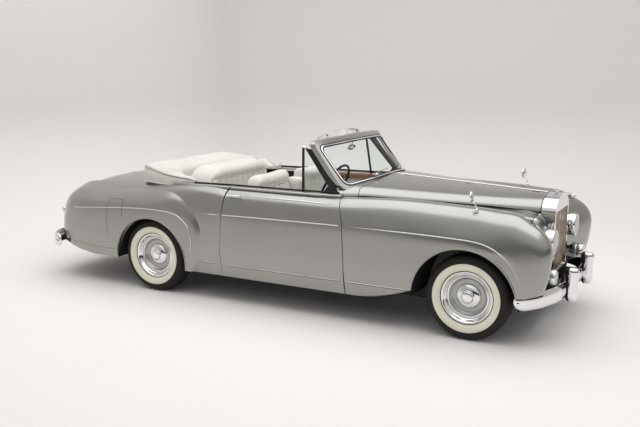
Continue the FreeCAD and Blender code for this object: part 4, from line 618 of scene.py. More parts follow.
def rounded_block(low, high, radius, cuts):
    """A block between two corners with rounded edges, cut into small faces along each axis."""
    shape = bmesh.new()
    bmesh.ops.create_cube(shape, size=2.0)
    for axis, count in enumerate(cuts):
        ways = [edge for edge in shape.edges if abs((edge.verts[1].co - edge.verts[0].co)[axis]) > 1e-4]
        bmesh.ops.subdivide_edges(shape, edges=ways, cuts=count, use_grid_fill=True)
    half = (Vector(high) - Vector(low)) / 2
    middle = (Vector(high) + Vector(low)) / 2
    for vertex in shape.verts:
        place = Vector([part * size for part, size in zip(vertex.co, half)])
        core = Vector([max(-(size - radius), min(size - radius, part)) for part, size in zip(place, half)])
        way = place - core
        if way.length > 1e-9:
            place = core + way.normalized() * radius
        vertex.co = place + middle
    return shape


def fade(value, low, high):
    """Rises from 0 to 1 between two values."""
    share = max(0.0, min(1.0, (value - low) / (high - low)))
    return share * share * (3 - 2 * share)


def puffed(made, pressure, cap, pinned=None, spare=0.0):
    """Blows a padded piece up as simulated cloth and keeps each point within a distance of its start."""
    scene = bpy.context.scene
    cloth = made.modifiers.new("cloth", "CLOTH")
    settings = cloth.settings
    settings.quality = cloth_quality
    settings.mass = cloth_mass
    settings.use_pressure = True
    settings.uniform_pressure_force = pressure
    settings.shrink_min = -spare
    settings.effector_weights.gravity = 0.0
    cloth.collision_settings.use_collision = False
    if pinned:
        group = made.vertex_groups.new(name="pinned")
        group.add([vertex.index for vertex in made.data.vertices if pinned(vertex.co)], 1.0, "REPLACE")
        settings.vertex_group_mass = "pinned"
    for step in range(1, cloth_steps + 1):
        scene.frame_set(step)
    view = bpy.context.evaluated_depsgraph_get()
    shaped = [vertex.co.copy() for vertex in made.evaluated_get(view).data.vertices]
    made.modifiers.remove(cloth)
    made.vertex_groups.clear()
    for vertex, place in zip(made.data.vertices, shaped):
        move = place - vertex.co
        if move.length > cap:
            move *= cap / move.length
        vertex.co += move
    scene.frame_set(1)


def softened(made):
    subdivided(made, 1)


def straight(points, steps):
    """Pairs along the straight lines from point to point of a few pairs."""
    return [(a0 + (a1 - a0) * step / steps, b0 + (b1 - b0) * step / steps)
            for (a0, b0), (a1, b1) in zip(points, points[1:]) for step in range(steps)]


def piping(name, made, points):
    """Piping laid on the front of a padded piece, each point dropped onto it from ahead."""
    skin = search_tree(made.data)
    found = []
    for point in points:
        place, normal, face, reach = skin.ray_cast(point + Vector((0.5, 0, 0)), Vector((-1, 0, 0)), 1.0)
        if place is not None:
            found.append(place + normal * 0.001)
    return bead(name, found, piping_radius, hide)


def pleat_press(across, low, high):
    """How far a channel between pleats is pressed in at a place across a seat."""
    if not low < across < high:
        return 0.0
    count = max(2, round((high - low) / pleat_width))
    groove = abs(math.sin(math.pi * (across - low) / (high - low) * count))
    return pleat_depth * (1 - groove ** 0.35)


def seat_back_piece(name, low, high, lean, foot, corner, inner_corner):
    """A seat back whose top is a plain roll above pleats, with corners that round down."""
    cuts = (pad_thin_cuts, round((high[1] - low[1]) / pad_cell), back_cuts)
    shape = rounded_block(low, high, pad_round, cuts)
    top, bottom, middle = high[2], low[2], (low[1] + high[1]) / 2
    half, back_x = (high[1] - low[1]) / 2, (low[0] + high[0]) / 2
    outer_sign = 1 if middle >= 0 else -1
    for vertex in shape.verts:
        reach = (vertex.co.y - middle) * outer_sign
        rise = max(0.0, (vertex.co.z - bottom) / (top - bottom)) ** 2
        for side, bend in ((1, corner), (-1, inner_corner)):
            turn = max(0.0, reach * side - (half - bend)) / bend
            vertex.co.z -= bend * (1 - math.sqrt(max(0.0, 1 - turn * turn))) * rise
        fullness = 1 - min(1.0, abs(reach) / half) ** 3
        vertex.co.x += (back_full if vertex.co.x > back_x else -back_full_behind) * fullness
    made = piece(name, shape, [hide])
    puffed(made, pad_pressure, back_cap)
    crest = top - roll_height
    pleat_low, pleat_high = low[1] + edge_width, high[1] - edge_width
    for vertex in made.data.vertices:
        place = vertex.co
        if place.x > back_x:
            face = fade(place.x, high[0] - 0.050, high[0] - 0.020)
            below_roll = 1 - fade(place.z, crest - 0.012, crest)
            place.x -= pleat_press(place.y, pleat_low, pleat_high) * face * below_roll
            seam = math.exp(-((place.z - crest) / roll_seam) ** 2)
            place.x -= roll_seam * (seam * fade(half - abs(place.y - middle), 0.02, 0.06)) * face
            bulge = (place.z - crest - roll_height * 0.5) / (roll_height * 0.36)
            place.x += roll_full * face * math.exp(-bulge ** 2)
    foot_z = bottom + 0.05
    outline = [(pleat_low, foot_z), (pleat_low, crest), (pleat_high, crest), (pleat_high, foot_z)]
    line = [Vector((foot.x, y, z)) for y, z in straight(outline, piping_steps)]
    trim = piping(f"{name}_piping", made, line)
    turn = Matrix.Translation(foot) @ Matrix.Rotation(math.radians(-lean), 4, "Y") @ Matrix.Translation(-foot)
    for part in (made, trim):
        part.data.transform(turn)
    softened(made)
    return made


def cushion_piece(name, low, high):
    """A seat cushion with channels along the car."""
    cuts = (cushion_cuts, round((high[1] - low[1]) / pad_cell), pad_thin_cuts)
    shape = rounded_block(low, high, pad_round, cuts)
    middle, half = (low[1] + high[1]) / 2, (high[1] - low[1]) / 2
    mid_z = (low[2] + high[2]) / 2
    for vertex in shape.verts:
        if vertex.co.z > mid_z:
            vertex.co.z += cushion_full * (1 - min(1.0, abs(vertex.co.y - middle) / half) ** 3)
    made = piece(name, shape, [hide])
    puffed(made, pad_pressure, cushion_cap)
    for vertex in made.data.vertices:
        place = vertex.co
        if place.z > mid_z:
            face = fade(place.z, high[2] - 0.035, high[2] - 0.010)
            face *= 1 - fade(place.x, high[0] - 0.11, high[0] - 0.09)
            place.z -= pleat_press(place.y, low[1] + edge_width, high[1] - edge_width) * face
    softened(made)


front_seat_places = {"right": (-0.475, 1.170), "left": (-0.320, 1.180)}
seat_foot, seat_inner, seat_outer = 0.50, 0.004, 0.62
rest_cap, rest_round, rest_cuts = 0.006, 0.05, (10, 8, 22)


def seats():
    """The front seats with their arm rest, and the rear seat."""
    for side, sign in sides:
        x, top = front_seat_places[side]
        y0, y1 = sorted((sign * seat_inner, sign * seat_outer))
        foot = spot(x, 0, seat_foot)
        low, high = (foot.x - 0.075, y0, seat_foot), (foot.x + 0.070, y1, top + 0.005)
        seat_back_piece(f"front_seat_back_{side}", low, high, 12, foot, 0.15, 0.03)
        rear = foot.x - 0.02
        cushion_piece(f"front_seat_cushion_{side}", (rear, y0, 0.35), (rear + 0.55, y1, 0.61))
    rest_x = front_seat_places["right"][0] + wheelbase_middle
    rest = rounded_block((rest_x - 0.09, -0.055, 0.62), (rest_x + 0.10, 0.055, 1.085), rest_round, rest_cuts)
    arm_rest = piece("front_arm_rest", rest, [hide])
    puffed(arm_rest, pad_pressure, rest_cap)
    softened(arm_rest)
    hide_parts("front_seats")
    low, high = tuple(spot(-1.390, -0.555, 0.63)), tuple(spot(-1.115, 0.555, 1.198))
    back = seat_back_piece("rear_seat_back", low, high, 0, Vector((-0.76, 0, 0)), 0.26, 0.26)
    cushion_piece("rear_seat_cushion", tuple(spot(-1.10, -0.555, 0.35)), tuple(spot(-0.730, 0.555, 0.67)))
    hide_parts("rear_seat")


# The folded hood under its cover

hood_ring_shares = ((0.02, 0), (-0.010, 0.20), (-0.012, 0.45), (-0.006, 0.68), (0.012, 0.86), (0.05, 0.95),
                    (0.14, 1.0), (0.30, 1.03), (0.5, 1.035), (0.70, 1.02), (0.86, 0.99), (0.95, 0.92),
                    (0.99, 0.80), (1.0, 0.60), (1.0, 0.35), (1.0, 0.15), (0.98, 0.0))
# The hood as sections: outer x and y, inner x and y, foot, outer top and inner top
hood_middle = (
    (-1.868, 0.0, -1.425, 0.0, 1.066, 1.196, 1.186), (-1.868, 0.20, -1.425, 0.18, 1.062, 1.196, 1.186),
    (-1.864, 0.40, -1.425, 0.33, 1.046, 1.197, 1.184), (-1.850, 0.56, -1.422, 0.44, 1.026, 1.200, 1.180),
    (-1.806, 0.650, -1.415, 0.53, 1.022, 1.198, 1.178), (-1.690, 0.693, -1.400, 0.575, 1.022, 1.174, 1.170))
hood_arms = {
    "left": (
        (-1.500, 0.706, -1.370, 0.585, 1.026, 1.160, 1.158),
        (-1.300, 0.700, -1.270, 0.590, 1.036, 1.150, 1.142),
        (-1.150, 0.692, -1.150, 0.600, 1.046, 1.130, 1.122),
        (-1.045, 0.676, -1.045, 0.610, 1.052, 1.098, 1.096)),
    "right": (
        (-1.520, 0.704, -1.370, 0.585, 1.024, 1.132, 1.140),
        (-1.360, 0.700, -1.320, 0.590, 1.034, 1.108, 1.114),
        (-1.260, 0.692, -1.250, 0.600, 1.044, 1.096, 1.098),
        (-1.203, 0.676, -1.203, 0.610, 1.052, 1.080, 1.082))}
hood_pressure, hood_cap, hood_spare, hood_fill = 2.0, 0.007, 0.02, 0.5
hood_pinned_below = 1.06
hood_between = 10
stud_radius, stud_spacing = 0.008, 9


def hood_ring(row, sign):
    """One section of the hood cover as points."""
    x, y, inner_x, inner_y, low, top, inner_top = row
    points = []
    for inward, rise in hood_ring_shares:
        edge = top + (inner_top - top) * inward
        points.append(spot(x + (inner_x - x) * inward, sign * (y + (inner_y - y) * inward),
                           low + (edge - low) * rise))
    return points


def between_rows(rows, steps):
    """Soft in-between rows of a table."""
    made = []
    padded = [rows[0]] + list(rows) + [rows[-1]]
    for index in range(1, len(padded) - 2):
        for step in range(steps):
            made.append([curve_place(*four, step / steps) for four in zip(*padded[index - 1:index + 3])])
    return made + [list(rows[-1])]


def lofted(rings):
    """A skin through rings of points, closed at both ends."""
    shape = bmesh.new()
    loops = []
    for ring in rings:
        points = [shape.verts.new(point) for point in ring]
        loops.append([shape.edges.new(pair) for pair in zip(points, points[1:] + points[:1])])
    for first, second in zip(loops, loops[1:]):
        bmesh.ops.bridge_loops(shape, edges=first + second)
    bmesh.ops.holes_fill(shape, edges=shape.edges, sides=0)
    bmesh.ops.recalc_face_normals(shape, faces=shape.faces)
    return shape


def hood_cover():
    """The hood cover in one piece, with its wrinkles, its seams and its row of studs."""
    left = between_rows(hood_middle + hood_arms["left"], hood_between)
    right = between_rows(hood_middle + hood_arms["right"], hood_between)
    rings = [hood_ring(row, -1) for row in right[::-1]] + [hood_ring(row, 1) for row in left[1:]]
    shape = lofted(rings)
    shape.normal_update()
    for vertex in shape.verts:
        place = vertex.co
        along_arm = fade(place.x, -1.20, -0.75)
        soft = noise.noise(Vector((place.x * 5, place.y * 5, place.z * 9))) * 0.010
        ripple = noise.noise(Vector((place.x * 16, place.y * 9, place.z * 22 + 5))) * 0.006
        far = fade(place.y, 0.30, 0.62)
        gather = math.sin(place.x * 52 + place.y * 18 + math.sin(place.y * 21) * 1.5) * 0.005 * far
        vertex.co += vertex.normal * (soft + ripple * (0.4 + far) + gather) * fade(place.z, 1.03, 1.08)
        if far > 0 and place.z > 1.1:
            vertex.co.z -= 0.02 * far * along_arm * (1 + math.sin(place.x * 30))
    cloth = finishes["hood_cloth"]
    cover = piece("hood_cover", shape, [cloth])
    puffed(cover, hood_pressure, hood_cap, lambda place: place.z < hood_pinned_below, hood_spare)
    subdivided(cover, 2)
    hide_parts("folded_hood")
    skin = search_tree(cover.data)
    # The second bead is a thin darker line beside each seam, painted shade.
    for name, point, lift, radius, material in (("seam", 5, 0.0045, 0.0048, cloth),
                                                ("seam_shade", 4, 0.0006, 0.0022, painted_seam_shade)):
        found = []
        for ring in rings:
            place, normal, face, reach = skin.find_nearest(ring[point] + Vector((0, 0, 0.004)))
            found.append(place + normal * lift)
        bead(f"hood_cover_{name}", found, radius, material)
    bead("hood_cover_hem", [ring[1] + Vector((0, 0, -0.014)) for ring in rings], 0.007, cloth)
    studs = bmesh.new()
    for ring in rings[4:-4:stud_spacing]:
        outward = (ring[2] - ring[13]).normalized()
        turn = outward.to_track_quat("Z", "Y").to_matrix().to_4x4()
        place = Matrix.Translation(ring[1].lerp(ring[2], 0.45) + outward * stud_radius)
        bmesh.ops.create_uvsphere(studs, u_segments=10, v_segments=6, radius=stud_radius,
                                  matrix=place @ turn @ Matrix.Diagonal((1, 1, 0.5, 1)))
    piece("hood_cover_studs", studs, [chrome])


# The cabin

def slab(name, corners, thickness, way, material, body="car_body", bevel=0.003):
    """A thin board from the corners of its face, with eased edges."""
    shape = bmesh.new()
    face = shape.faces.new([shape.verts.new(corner) for corner in corners])
    grown = bmesh.ops.extrude_face_region(shape, geom=[face])
    moved = [part for part in grown["geom"] if isinstance(part, bmesh.types.BMVert)]
    bmesh.ops.translate(shape, vec=Vector(way) * thickness, verts=moved)
    bmesh.ops.recalc_face_normals(shape, faces=shape.faces)
    if bevel:
        bmesh.ops.bevel(shape, geom=shape.edges, offset=bevel, offset_type="OFFSET", segments=2, profile=0.5,
                        affect="EDGES", material=-1)
    return piece(name, shape, [material], body, smooth=False)


def cabin_trim():
    """The doors' trim boards and wooden rails, and the cabin carpet."""
    for side, sign in sides:
        body = f"door_{side}"
        slab(f"door_trim_{side}", [spot(-0.69, sign * 0.686, 0.44), spot(0.36, sign * 0.686, 0.44),
                                   spot(0.345, sign * 0.672, 1.00), spot(-0.69, sign * 0.672, 1.00)],
             0.012, (0, sign, 0), hide, body)
        slab(f"door_rail_{side}", [spot(-0.71, sign * 0.645, 1.010), spot(0.335, sign * 0.645, 1.018),
                                   spot(0.335, sign * 0.645, 1.064), spot(-0.71, sign * 0.645, 1.054)],
             0.030, (0, sign, 0), finishes["dash_wood"], body, 0.008)
    slab("cabin_carpet", [spot(-0.70, -0.66, 0.3405), spot(0.55, -0.66, 0.3405), spot(0.55, 0.66, 0.3405),
                          spot(-0.70, 0.66, 0.3405)], 0.006, (0, 0, 1), floor_carpet, bevel=0)


visor_corners = ((0.130, 0.02, 1.497), (0.080, 0.28, 1.487), (0.022, 0.515, 1.464), (-0.004, 0.500, 1.490),
                 (0.012, 0.420, 1.530), (0.032, 0.290, 1.560), (0.052, 0.130, 1.573), (0.060, 0.02, 1.575))
screen_low, screen_high = (0.640, 1.140, 1.188), (0.652, 1.480, 1.496)
screen_bend = 0.05


def screen_line(inset):
    """The windscreen's rounded outline as (y, z) places, drawn in by a width."""
    bend = screen_bend
    low_y, low_z, low_mid = screen_low[0] - inset, screen_low[1] + inset, screen_low[2] + inset
    high_y, high_z, high_mid = screen_high[0] - inset, screen_high[1] - inset, screen_high[2] - inset
    points = []
    for step in range(-20, 21):
        share = step / 20
        points.append(((low_y - bend) * share, low_mid - (low_mid - low_z) * share ** 2))
    for step in range(1, 9):
        turn = math.radians(90 * step / 8)
        points.append((low_y - bend + bend * math.sin(turn), low_z + bend - bend * math.cos(turn)))
    for step in range(1, 16):
        share = step / 16
        points.append((low_y + (high_y - low_y) * share, low_z + bend + (high_z - low_z - bend * 2) * share))
    for step in range(9):
        turn = math.radians(90 * step / 8)
        points.append((high_y - bend + bend * math.cos(turn), high_z - bend + bend * math.sin(turn)))
    half = points[20:]
    for step in range(19, -1, -1):
        share = step / 20
        half.append(((high_y - bend) * share, high_mid - (high_mid - high_z) * share ** 2))
    return half + [(-y, z) for y, z in half[-2:0:-1]]


def from_front(nodes_hit, y, z, lift):
    """The first place that a line from ahead meets one of some pieces, lifted off it."""
    hits = []
    for node in nodes_hit:
        place, normal, face, reach = shell_of(node).ray_cast(spot(1.5, y, z), Vector((-1, 0, 0)), 3.0)
        if place is not None:
            hits.append((reach, place))
    return min(hits)[1] + Vector((lift, 0, 0)) if hits else None


def screen_fittings():
    """The sun visors over the windscreen, its mirror, its wipers and its black gaskets."""
    for side, sign in sides:
        slab(f"sun_visor_{side}", [spot(x, sign * y, z) for x, y, z in visor_corners], 0.012, (-0.6, 0, -0.5),
             hide, bevel=0.004)
        for index, (x, y, z) in enumerate(((-0.006, 0.500, 1.470), (0.040, 0.310, 1.530))):
            ends = [spot(x, sign * y, z), spot(x + 0.004, sign * y, z + 0.016)]
            bead(f"roof_latch_{side}_{index}", ends, 0.006, gasket)
    screen = ["windscreen_trim", "windscreen_glass"]
    for name, inset, radius, lift, material in (("gasket_outer", 0.0015, 0.0052, -0.001, gasket),
                                                ("bead", 0.0105, 0.0082, -0.002, chrome),
                                                ("gasket_inner", 0.0195, 0.0045, -0.002, gasket)):
        places = [from_front(screen, y, z, lift) for y, z in screen_line(inset)]
        places = [place for place in places if place is not None]
        made = bead(f"screen_{name}", places + places[:1], radius, material)
        if name == "bead":
            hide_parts("windscreen_trim")
    mirror = bmesh.new()
    turn = Matrix.Rotation(math.radians(90), 4, "Y") @ Matrix.Diagonal((0.55, 1.5, 1, 1))
    bmesh.ops.create_cone(mirror, cap_ends=True, segments=32, radius1=0.05, radius2=0.044, depth=0.016,
                          matrix=Matrix.Translation(spot(0.135, 0, 1.405)) @ turn)
    piece("inside_mirror", mirror, [chrome])
    bead("inside_mirror_stem", [spot(0.150, 0, 1.475), spot(0.140, 0, 1.44), spot(0.137, 0, 1.41)], 0.005,
         chrome)
    for name, pivot, end in (("near", (0.533, -0.300), (-0.02, 1.232)),
                             ("far", (0.590, 0.150), (0.43, 1.222))):
        base = spot(pivot[0], pivot[1], 1.203)
        boss = spun(wiper_boss, 20)
        upright = Matrix.Rotation(math.radians(90), 3, "X")
        bmesh.ops.rotate(boss, cent=(0, 0, 0), matrix=upright, verts=boss.verts)
        bmesh.ops.translate(boss, vec=base, verts=boss.verts)
        piece(f"wiper_pivot_{name}", boss, [chrome])
        line = []
        for step in range(9):
            share = step / 8
            y, z = pivot[1] + (end[0] - pivot[1]) * share, 1.222 + (end[1] - 1.222) * share
            place = from_front(["windscreen_trim", "windscreen_glass", "scuttle"], y, z, 0.009)
            if place is not None:
                line.append(place)
        bead(f"wiper_arm_{name}", [base + Vector((0, 0, 0.018))] + line[3:], 0.0035, chrome)
        bead(f"wiper_blade_{name}", [place - Vector((0.003, 0, 0)) for place in line], 0.0042, gasket)


# Lamps, mirrors and bright fittings

def turned(name, profile, place, way, material, steps=64):
    """A round piece from a (radius, reach) outline about an axis through a place."""
    shape = spun(profile, steps)
    turn = Vector(way).normalized().to_track_quat("Y", "Z").to_matrix()
    bmesh.ops.rotate(shape, cent=(0, 0, 0), matrix=turn, verts=shape.verts)
    bmesh.ops.translate(shape, vec=place, verts=shape.verts)
    return piece(name, shape, [material])


# Outlines of round pieces as (radius, reach); the side lamp's are in radii of the lamp
headlamp_rim = ((0.1005, -0.078), (0.1010, -0.040), (0.1005, -0.008), (0.0985, 0.004), (0.0945, 0.0095),
                (0.0890, 0.0100), (0.0850, 0.0050), (0.0835, -0.004), (0.0800, -0.010), (0.0800, -0.078))
headlamp_lens = ((0.0838, 0.000), (0.0800, 0.0075), (0.0690, 0.0135), (0.0520, 0.0185), (0.0320, 0.0215),
                 (0.0120, 0.0228), (0.0, 0.0230), (0.0, 0.0200), (0.0320, 0.0185), (0.0520, 0.0155),
                 (0.0690, 0.0105), (0.0800, 0.0045))
headlamp_bowl = ((0.0825, -0.004), (0.0760, -0.022), (0.0600, -0.045), (0.0380, -0.060), (0.0150, -0.066),
                 (0.0, -0.067), (0.0, -0.069), (0.0150, -0.068), (0.0390, -0.062), (0.0620, -0.046),
                 (0.0785, -0.022), (0.0835, -0.006))
headlamp_shield = ((0.0, -0.018), (0.010, -0.020), (0.016, -0.026), (0.017, -0.034), (0.0, -0.034))
lamp_back = ((0.0985, -0.074), (0.0960, -0.095), (0.0880, -0.112), (0.0660, -0.119), (0.0, -0.120),
             (0.0, -0.110), (0.070, -0.100), (0.080, -0.074))
side_lamp_back = ((0.0, -9.6), (0.30, -9.6), (0.48, -8.0), (0.68, -6.0), (0.86, -3.6), (0.98, -1.2),
                  (0.985, -0.3), (0.7, -0.3), (0.0, -0.3))
side_lamp_rim = ((0.97, -0.45), (1.04, -0.30), (1.05, 0.0), (0.99, 0.25), (0.86, 0.34), (0.79, 0.24),
                 (0.79, -0.45))
side_lamp_lens = ((0.80, 0.18), (0.76, 0.42), (0.62, 0.66), (0.34, 0.86), (0.0, 0.93), (0.0, 0.7),
                  (0.34, 0.62), (0.62, 0.4))
side_lamp_radius = 0.025
mirror_head = ((0.0, 0.014), (0.020, 0.0125), (0.036, 0.0080), (0.0455, 0.0015), (0.0480, -0.004),
               (0.0470, -0.0085), (0.0430, -0.0090), (0.0420, -0.0065), (0.0, -0.0060))
mirror_base = ((0.0, 0.024), (0.008, 0.022), (0.013, 0.012), (0.0155, -0.012), (0.0, -0.012))
knob = ((0.0, 0.020), (0.009, 0.019), (0.0155, 0.012), (0.016, 0.006), (0.010, -0.002), (0.008, -0.02),
        (0.0, -0.02))
horn = ((0.0, -0.09), (0.010, -0.09), (0.011, -0.03), (0.016, 0.0), (0.030, 0.022), (0.046, 0.032),
        (0.048, 0.035), (0.030, 0.028), (0.008, 0.0), (0.0, 0.0))
wiper_boss = ((0.0, 0.022), (0.006, 0.021), (0.010, 0.014), (0.0105, 0.004), (0.014, 0.0), (0.0, 0.0))
strip_rear, strip_front, strip_steps, strip_radius = 0.60, 1.975, 40, 0.006


def scaled(profile, size):
    """A (radius, reach) outline at another size."""
    return [(radius * size, reach * size) for radius, reach in profile]


def lamps():
    """The head, fog and side lamps, the wing mirrors, the knob and the horns."""
    glass = finishes["lamp_glass"]
    for side, sign in sides:
        for kind, place, size, back, front in (
                ("head", spot(2.138, sign * 0.410, 0.785), 1.0, paint, glass),
                ("fog", spot(2.186, sign * 0.528, 0.531), 0.62, chrome, fog_glass)):
            for part, profile, finish, steps, slot in (("rim", headlamp_rim, chrome, 64, None),
                                                       ("lens", headlamp_lens, front, 64, None),
                                                       ("bowl", headlamp_bowl, chrome, 64, None),
                                                       ("shield", headlamp_shield, chrome, 24, None),
                                                       ("back", lamp_back, back, 64, "body_paint")):
                name = f"{kind}lamp_{part}_{side}"
                turned(name, scaled(profile, size), place, (1, 0, 0), finish, steps)
            if kind == "head" and sign < 0:
                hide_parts("front_lamps")
                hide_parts("lamp_lenses")
        front, rear = spot(2.046, sign * 0.683, 0.990), spot(1.80, sign * 0.683, 1.024)
        way = front - rear
        for part, profile, finish in (("back", side_lamp_back, paint), ("rim", side_lamp_rim, chrome),
                                      ("lens", side_lamp_lens, glass)):
            turned(f"sidelamp_{part}_{side}", scaled(profile, side_lamp_radius), front, way, finish)
        head, foot = spot(1.569, sign * 0.786, 1.158), spot(1.606, sign * 0.769, 1.046)
        mirror = turned(f"wing_mirror_{side}", mirror_head, head, (1, sign * -0.12, 0.04), chrome)
        stem = [foot - Vector((0, 0, 0.01)), foot + Vector((-0.004, 0, 0.028)),
                foot.lerp(head, 0.55) + Vector((0.006, 0, 0)), head + Vector((0.004, 0, -0.040))]
        bead(f"wing_mirror_stem_{side}", smoothed(stem, 8), 0.0045, chrome)
        turned(f"wing_mirror_base_{side}", mirror_base, foot, (0, 0, 1), chrome, 24)
        if sign < 0:
            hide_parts("wing_mirrors")
        turned(f"knob_{side}", knob, spot(0.703, sign * 0.690, 1.052), (0, sign * 0.5, 0.8), chrome, 28)
        turned(f"horn_{side}", horn, spot(2.100, sign * 0.380, 0.585), (1, 0, 0.05),
               finishes["dark_plastic"], 40)
    strip = []
    for step in range(strip_steps + 1):
        x = strip_rear + (strip_front - strip_rear) * step / strip_steps
        place, normal, face, reach = shell_of("scuttle").ray_cast(spot(x, 0.0, 1.6), Vector((0, 0, -1)), 1.0)
        if place is not None:
            strip.append(place + Vector((0, 0, 0.001)))
    bead("bonnet_strip", strip, strip_radius, chrome)


bumper_height, bumper_middle = 0.138, 0.385
blade_end, blade_tuck = 0.075, 0.010
overrider_y, overrider_foot, overrider_height, overrider_half = 0.315, 0.290, 0.282, 0.042
overrider_power, overrider_steps, rubber_front = 0.9, 24, -0.45
iron_y, iron_half_height, iron_thickness = 0.34, 0.03, 0.016
# A section as (out, up in heights), the lines of the blades and an overrider's rows of (up, wide, deep)
blade_section = ((-0.010, -0.50), (0.004, -0.47), (0.014, -0.38), (0.020, -0.24), (0.0225, -0.08),
                 (0.0225, 0.08), (0.020, 0.24), (0.014, 0.38), (0.004, 0.47), (-0.010, 0.50), (-0.013, 0.47),
                 (-0.004, 0.34), (0.004, 0.12), (0.004, -0.12), (-0.004, -0.34), (-0.013, -0.47))
front_blade = ((2.235, 0), (2.232, 0.12), (2.228, 0.25), (2.217, 0.38), (2.195, 0.52), (2.125, 0.72),
               (2.045, 0.835), (1.955, 0.884))
rear_blade = ((-2.998, 0), (-2.996, 0.25), (-2.983, 0.50), (-2.950, 0.69), (-2.888, 0.820),
              (-2.815, 0.878), (-2.742, 0.896))
overrider_rows = ((0.0, 0.40, 0.36), (0.02, 0.66, 0.58), (0.07, 0.88, 0.76), (0.16, 0.98, 0.86),
                  (0.35, 0.92, 0.86), (0.55, 0.82, 0.82), (0.70, 0.84, 0.86), (0.80, 0.97, 0.96),
                  (0.88, 1.0, 1.0), (0.94, 0.92, 0.95), (0.98, 0.68, 0.76), (1.0, 0.30, 0.42))


def blade(name, line, slim, replaced):
    """A curved bumper blade of one hollow-backed section, rounded off at its ends."""
    half = smoothed([(x, y, 0) for x, y in line], 10)
    path = [Vector((point.x, -point.y, 0)) for point in half[:0:-1]] + half
    lean = 1 if line[0][0] > 0 else -1
    rings = []
    reach = [0.0]
    for first, second in zip(path, path[1:]):
        reach.append(reach[-1] + (second - first).length)
    for index, point in enumerate(path):
        along = (path[min(index + 1, len(path) - 1)] - path[max(index - 1, 0)]).normalized()
        outward = Vector((along.y, -along.x, 0)) * lean
        if outward.x * lean < 0:
            outward = -outward
        near = min(reach[index], reach[-1] - reach[index]) / blade_end
        ease = math.sqrt(max(0.0, 1 - (1 - min(1.0, near)) ** 2)) * 0.9 + 0.1
        middle, tuck = spot(point.x, point.y, bumper_middle), blade_tuck * (1 - ease)
        rings.append([middle + outward * (out * slim * ease - tuck)
                      + Vector((0, 0, rise * bumper_height * ease)) for out, rise in blade_section])
    made = piece(name, lofted(rings), [chrome])
    subdivided(made, 1)
    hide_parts(replaced)
    for side, sign in sides:
        tip = [spot(point.x, sign * (point.y + 0.017), bumper_middle) for point in half[-11:-3]]
        bead(f"{name}_slot_{side}", tip, 0.0045, gasket)


def overrider(name, place, depth, lean):
    """A bumper overrider with a swollen top, and the dark rubber behind it."""
    for part, grow, material in (("", 1.0, chrome), ("_rubber", 1.13, gasket)):
        rings = []
        for rise, wide, deep in overrider_rows:
            ring = []
            for step in range(overrider_steps):
                turn = math.tau * step / overrider_steps
                out, across = math.cos(turn), math.sin(turn)
                if part:
                    out = min(out, rubber_front)
                out = math.copysign(abs(out) ** overrider_power, out)
                across = math.copysign(abs(across) ** overrider_power, across)
                ring.append(place + Vector((lean * depth / 2 * deep * out,
                                            overrider_half * wide * grow * across, overrider_height * rise)))
            rings.append(ring)
        subdivided(piece(name + part, lofted(rings), [material]), 1)


def bumpers():
    """Both bumpers, their overriders and the irons that carry them."""
    cad_front, cad_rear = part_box("front_bumper"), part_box("rear_bumper")
    blade("front_bumper_blade", front_blade, 1.0, "front_bumper")
    blade("rear_bumper_blade", rear_blade, 0.9, "rear_bumper")
    for side, sign in sides:
        front = Vector((cad_front[1].x - 0.060, sign * overrider_y, overrider_foot))
        rear = Vector((cad_rear[0].x + 0.033, sign * overrider_y, overrider_foot))
        overrider(f"front_overrider_{side}", front, 0.118, 1)
        overrider(f"rear_overrider_{side}", rear, 0.064, -1)
        y = sign * iron_y - iron_thickness / 2
        low, high = bumper_middle - iron_half_height, bumper_middle + iron_half_height
        for name, start, end in (("front", 2.02, front.x - 0.02), ("rear", -2.72, rear.x + 0.01)):
            start += wheelbase_middle
            corners = [(start, y, low), (end, y, low), (end, y, high), (start, y, high)]
            slab(f"{name}_bumper_iron_{side}", corners, iron_thickness, (0, 1, 0), finishes["chassis_black"],
                 bevel=0.002)


door_moulding = ((-0.56, 1.006), (-0.10, 1.007), (0.20, 1.005), (0.47, 1.001))
waist_lines = (("door", ((-0.747, 1.081), (-0.40, 1.082), (0.0, 1.0845), (0.37, 1.091))),
               ("body", ((-1.16, 1.074), (-0.95, 1.077), (-0.755, 1.0805))))
flap_edge = ((-2.085, 0.522), (-2.100, 0.545), (-2.100, 0.845), (-2.085, 0.868), (-1.925, 0.868),
             (-1.908, 0.845), (-1.908, 0.700))


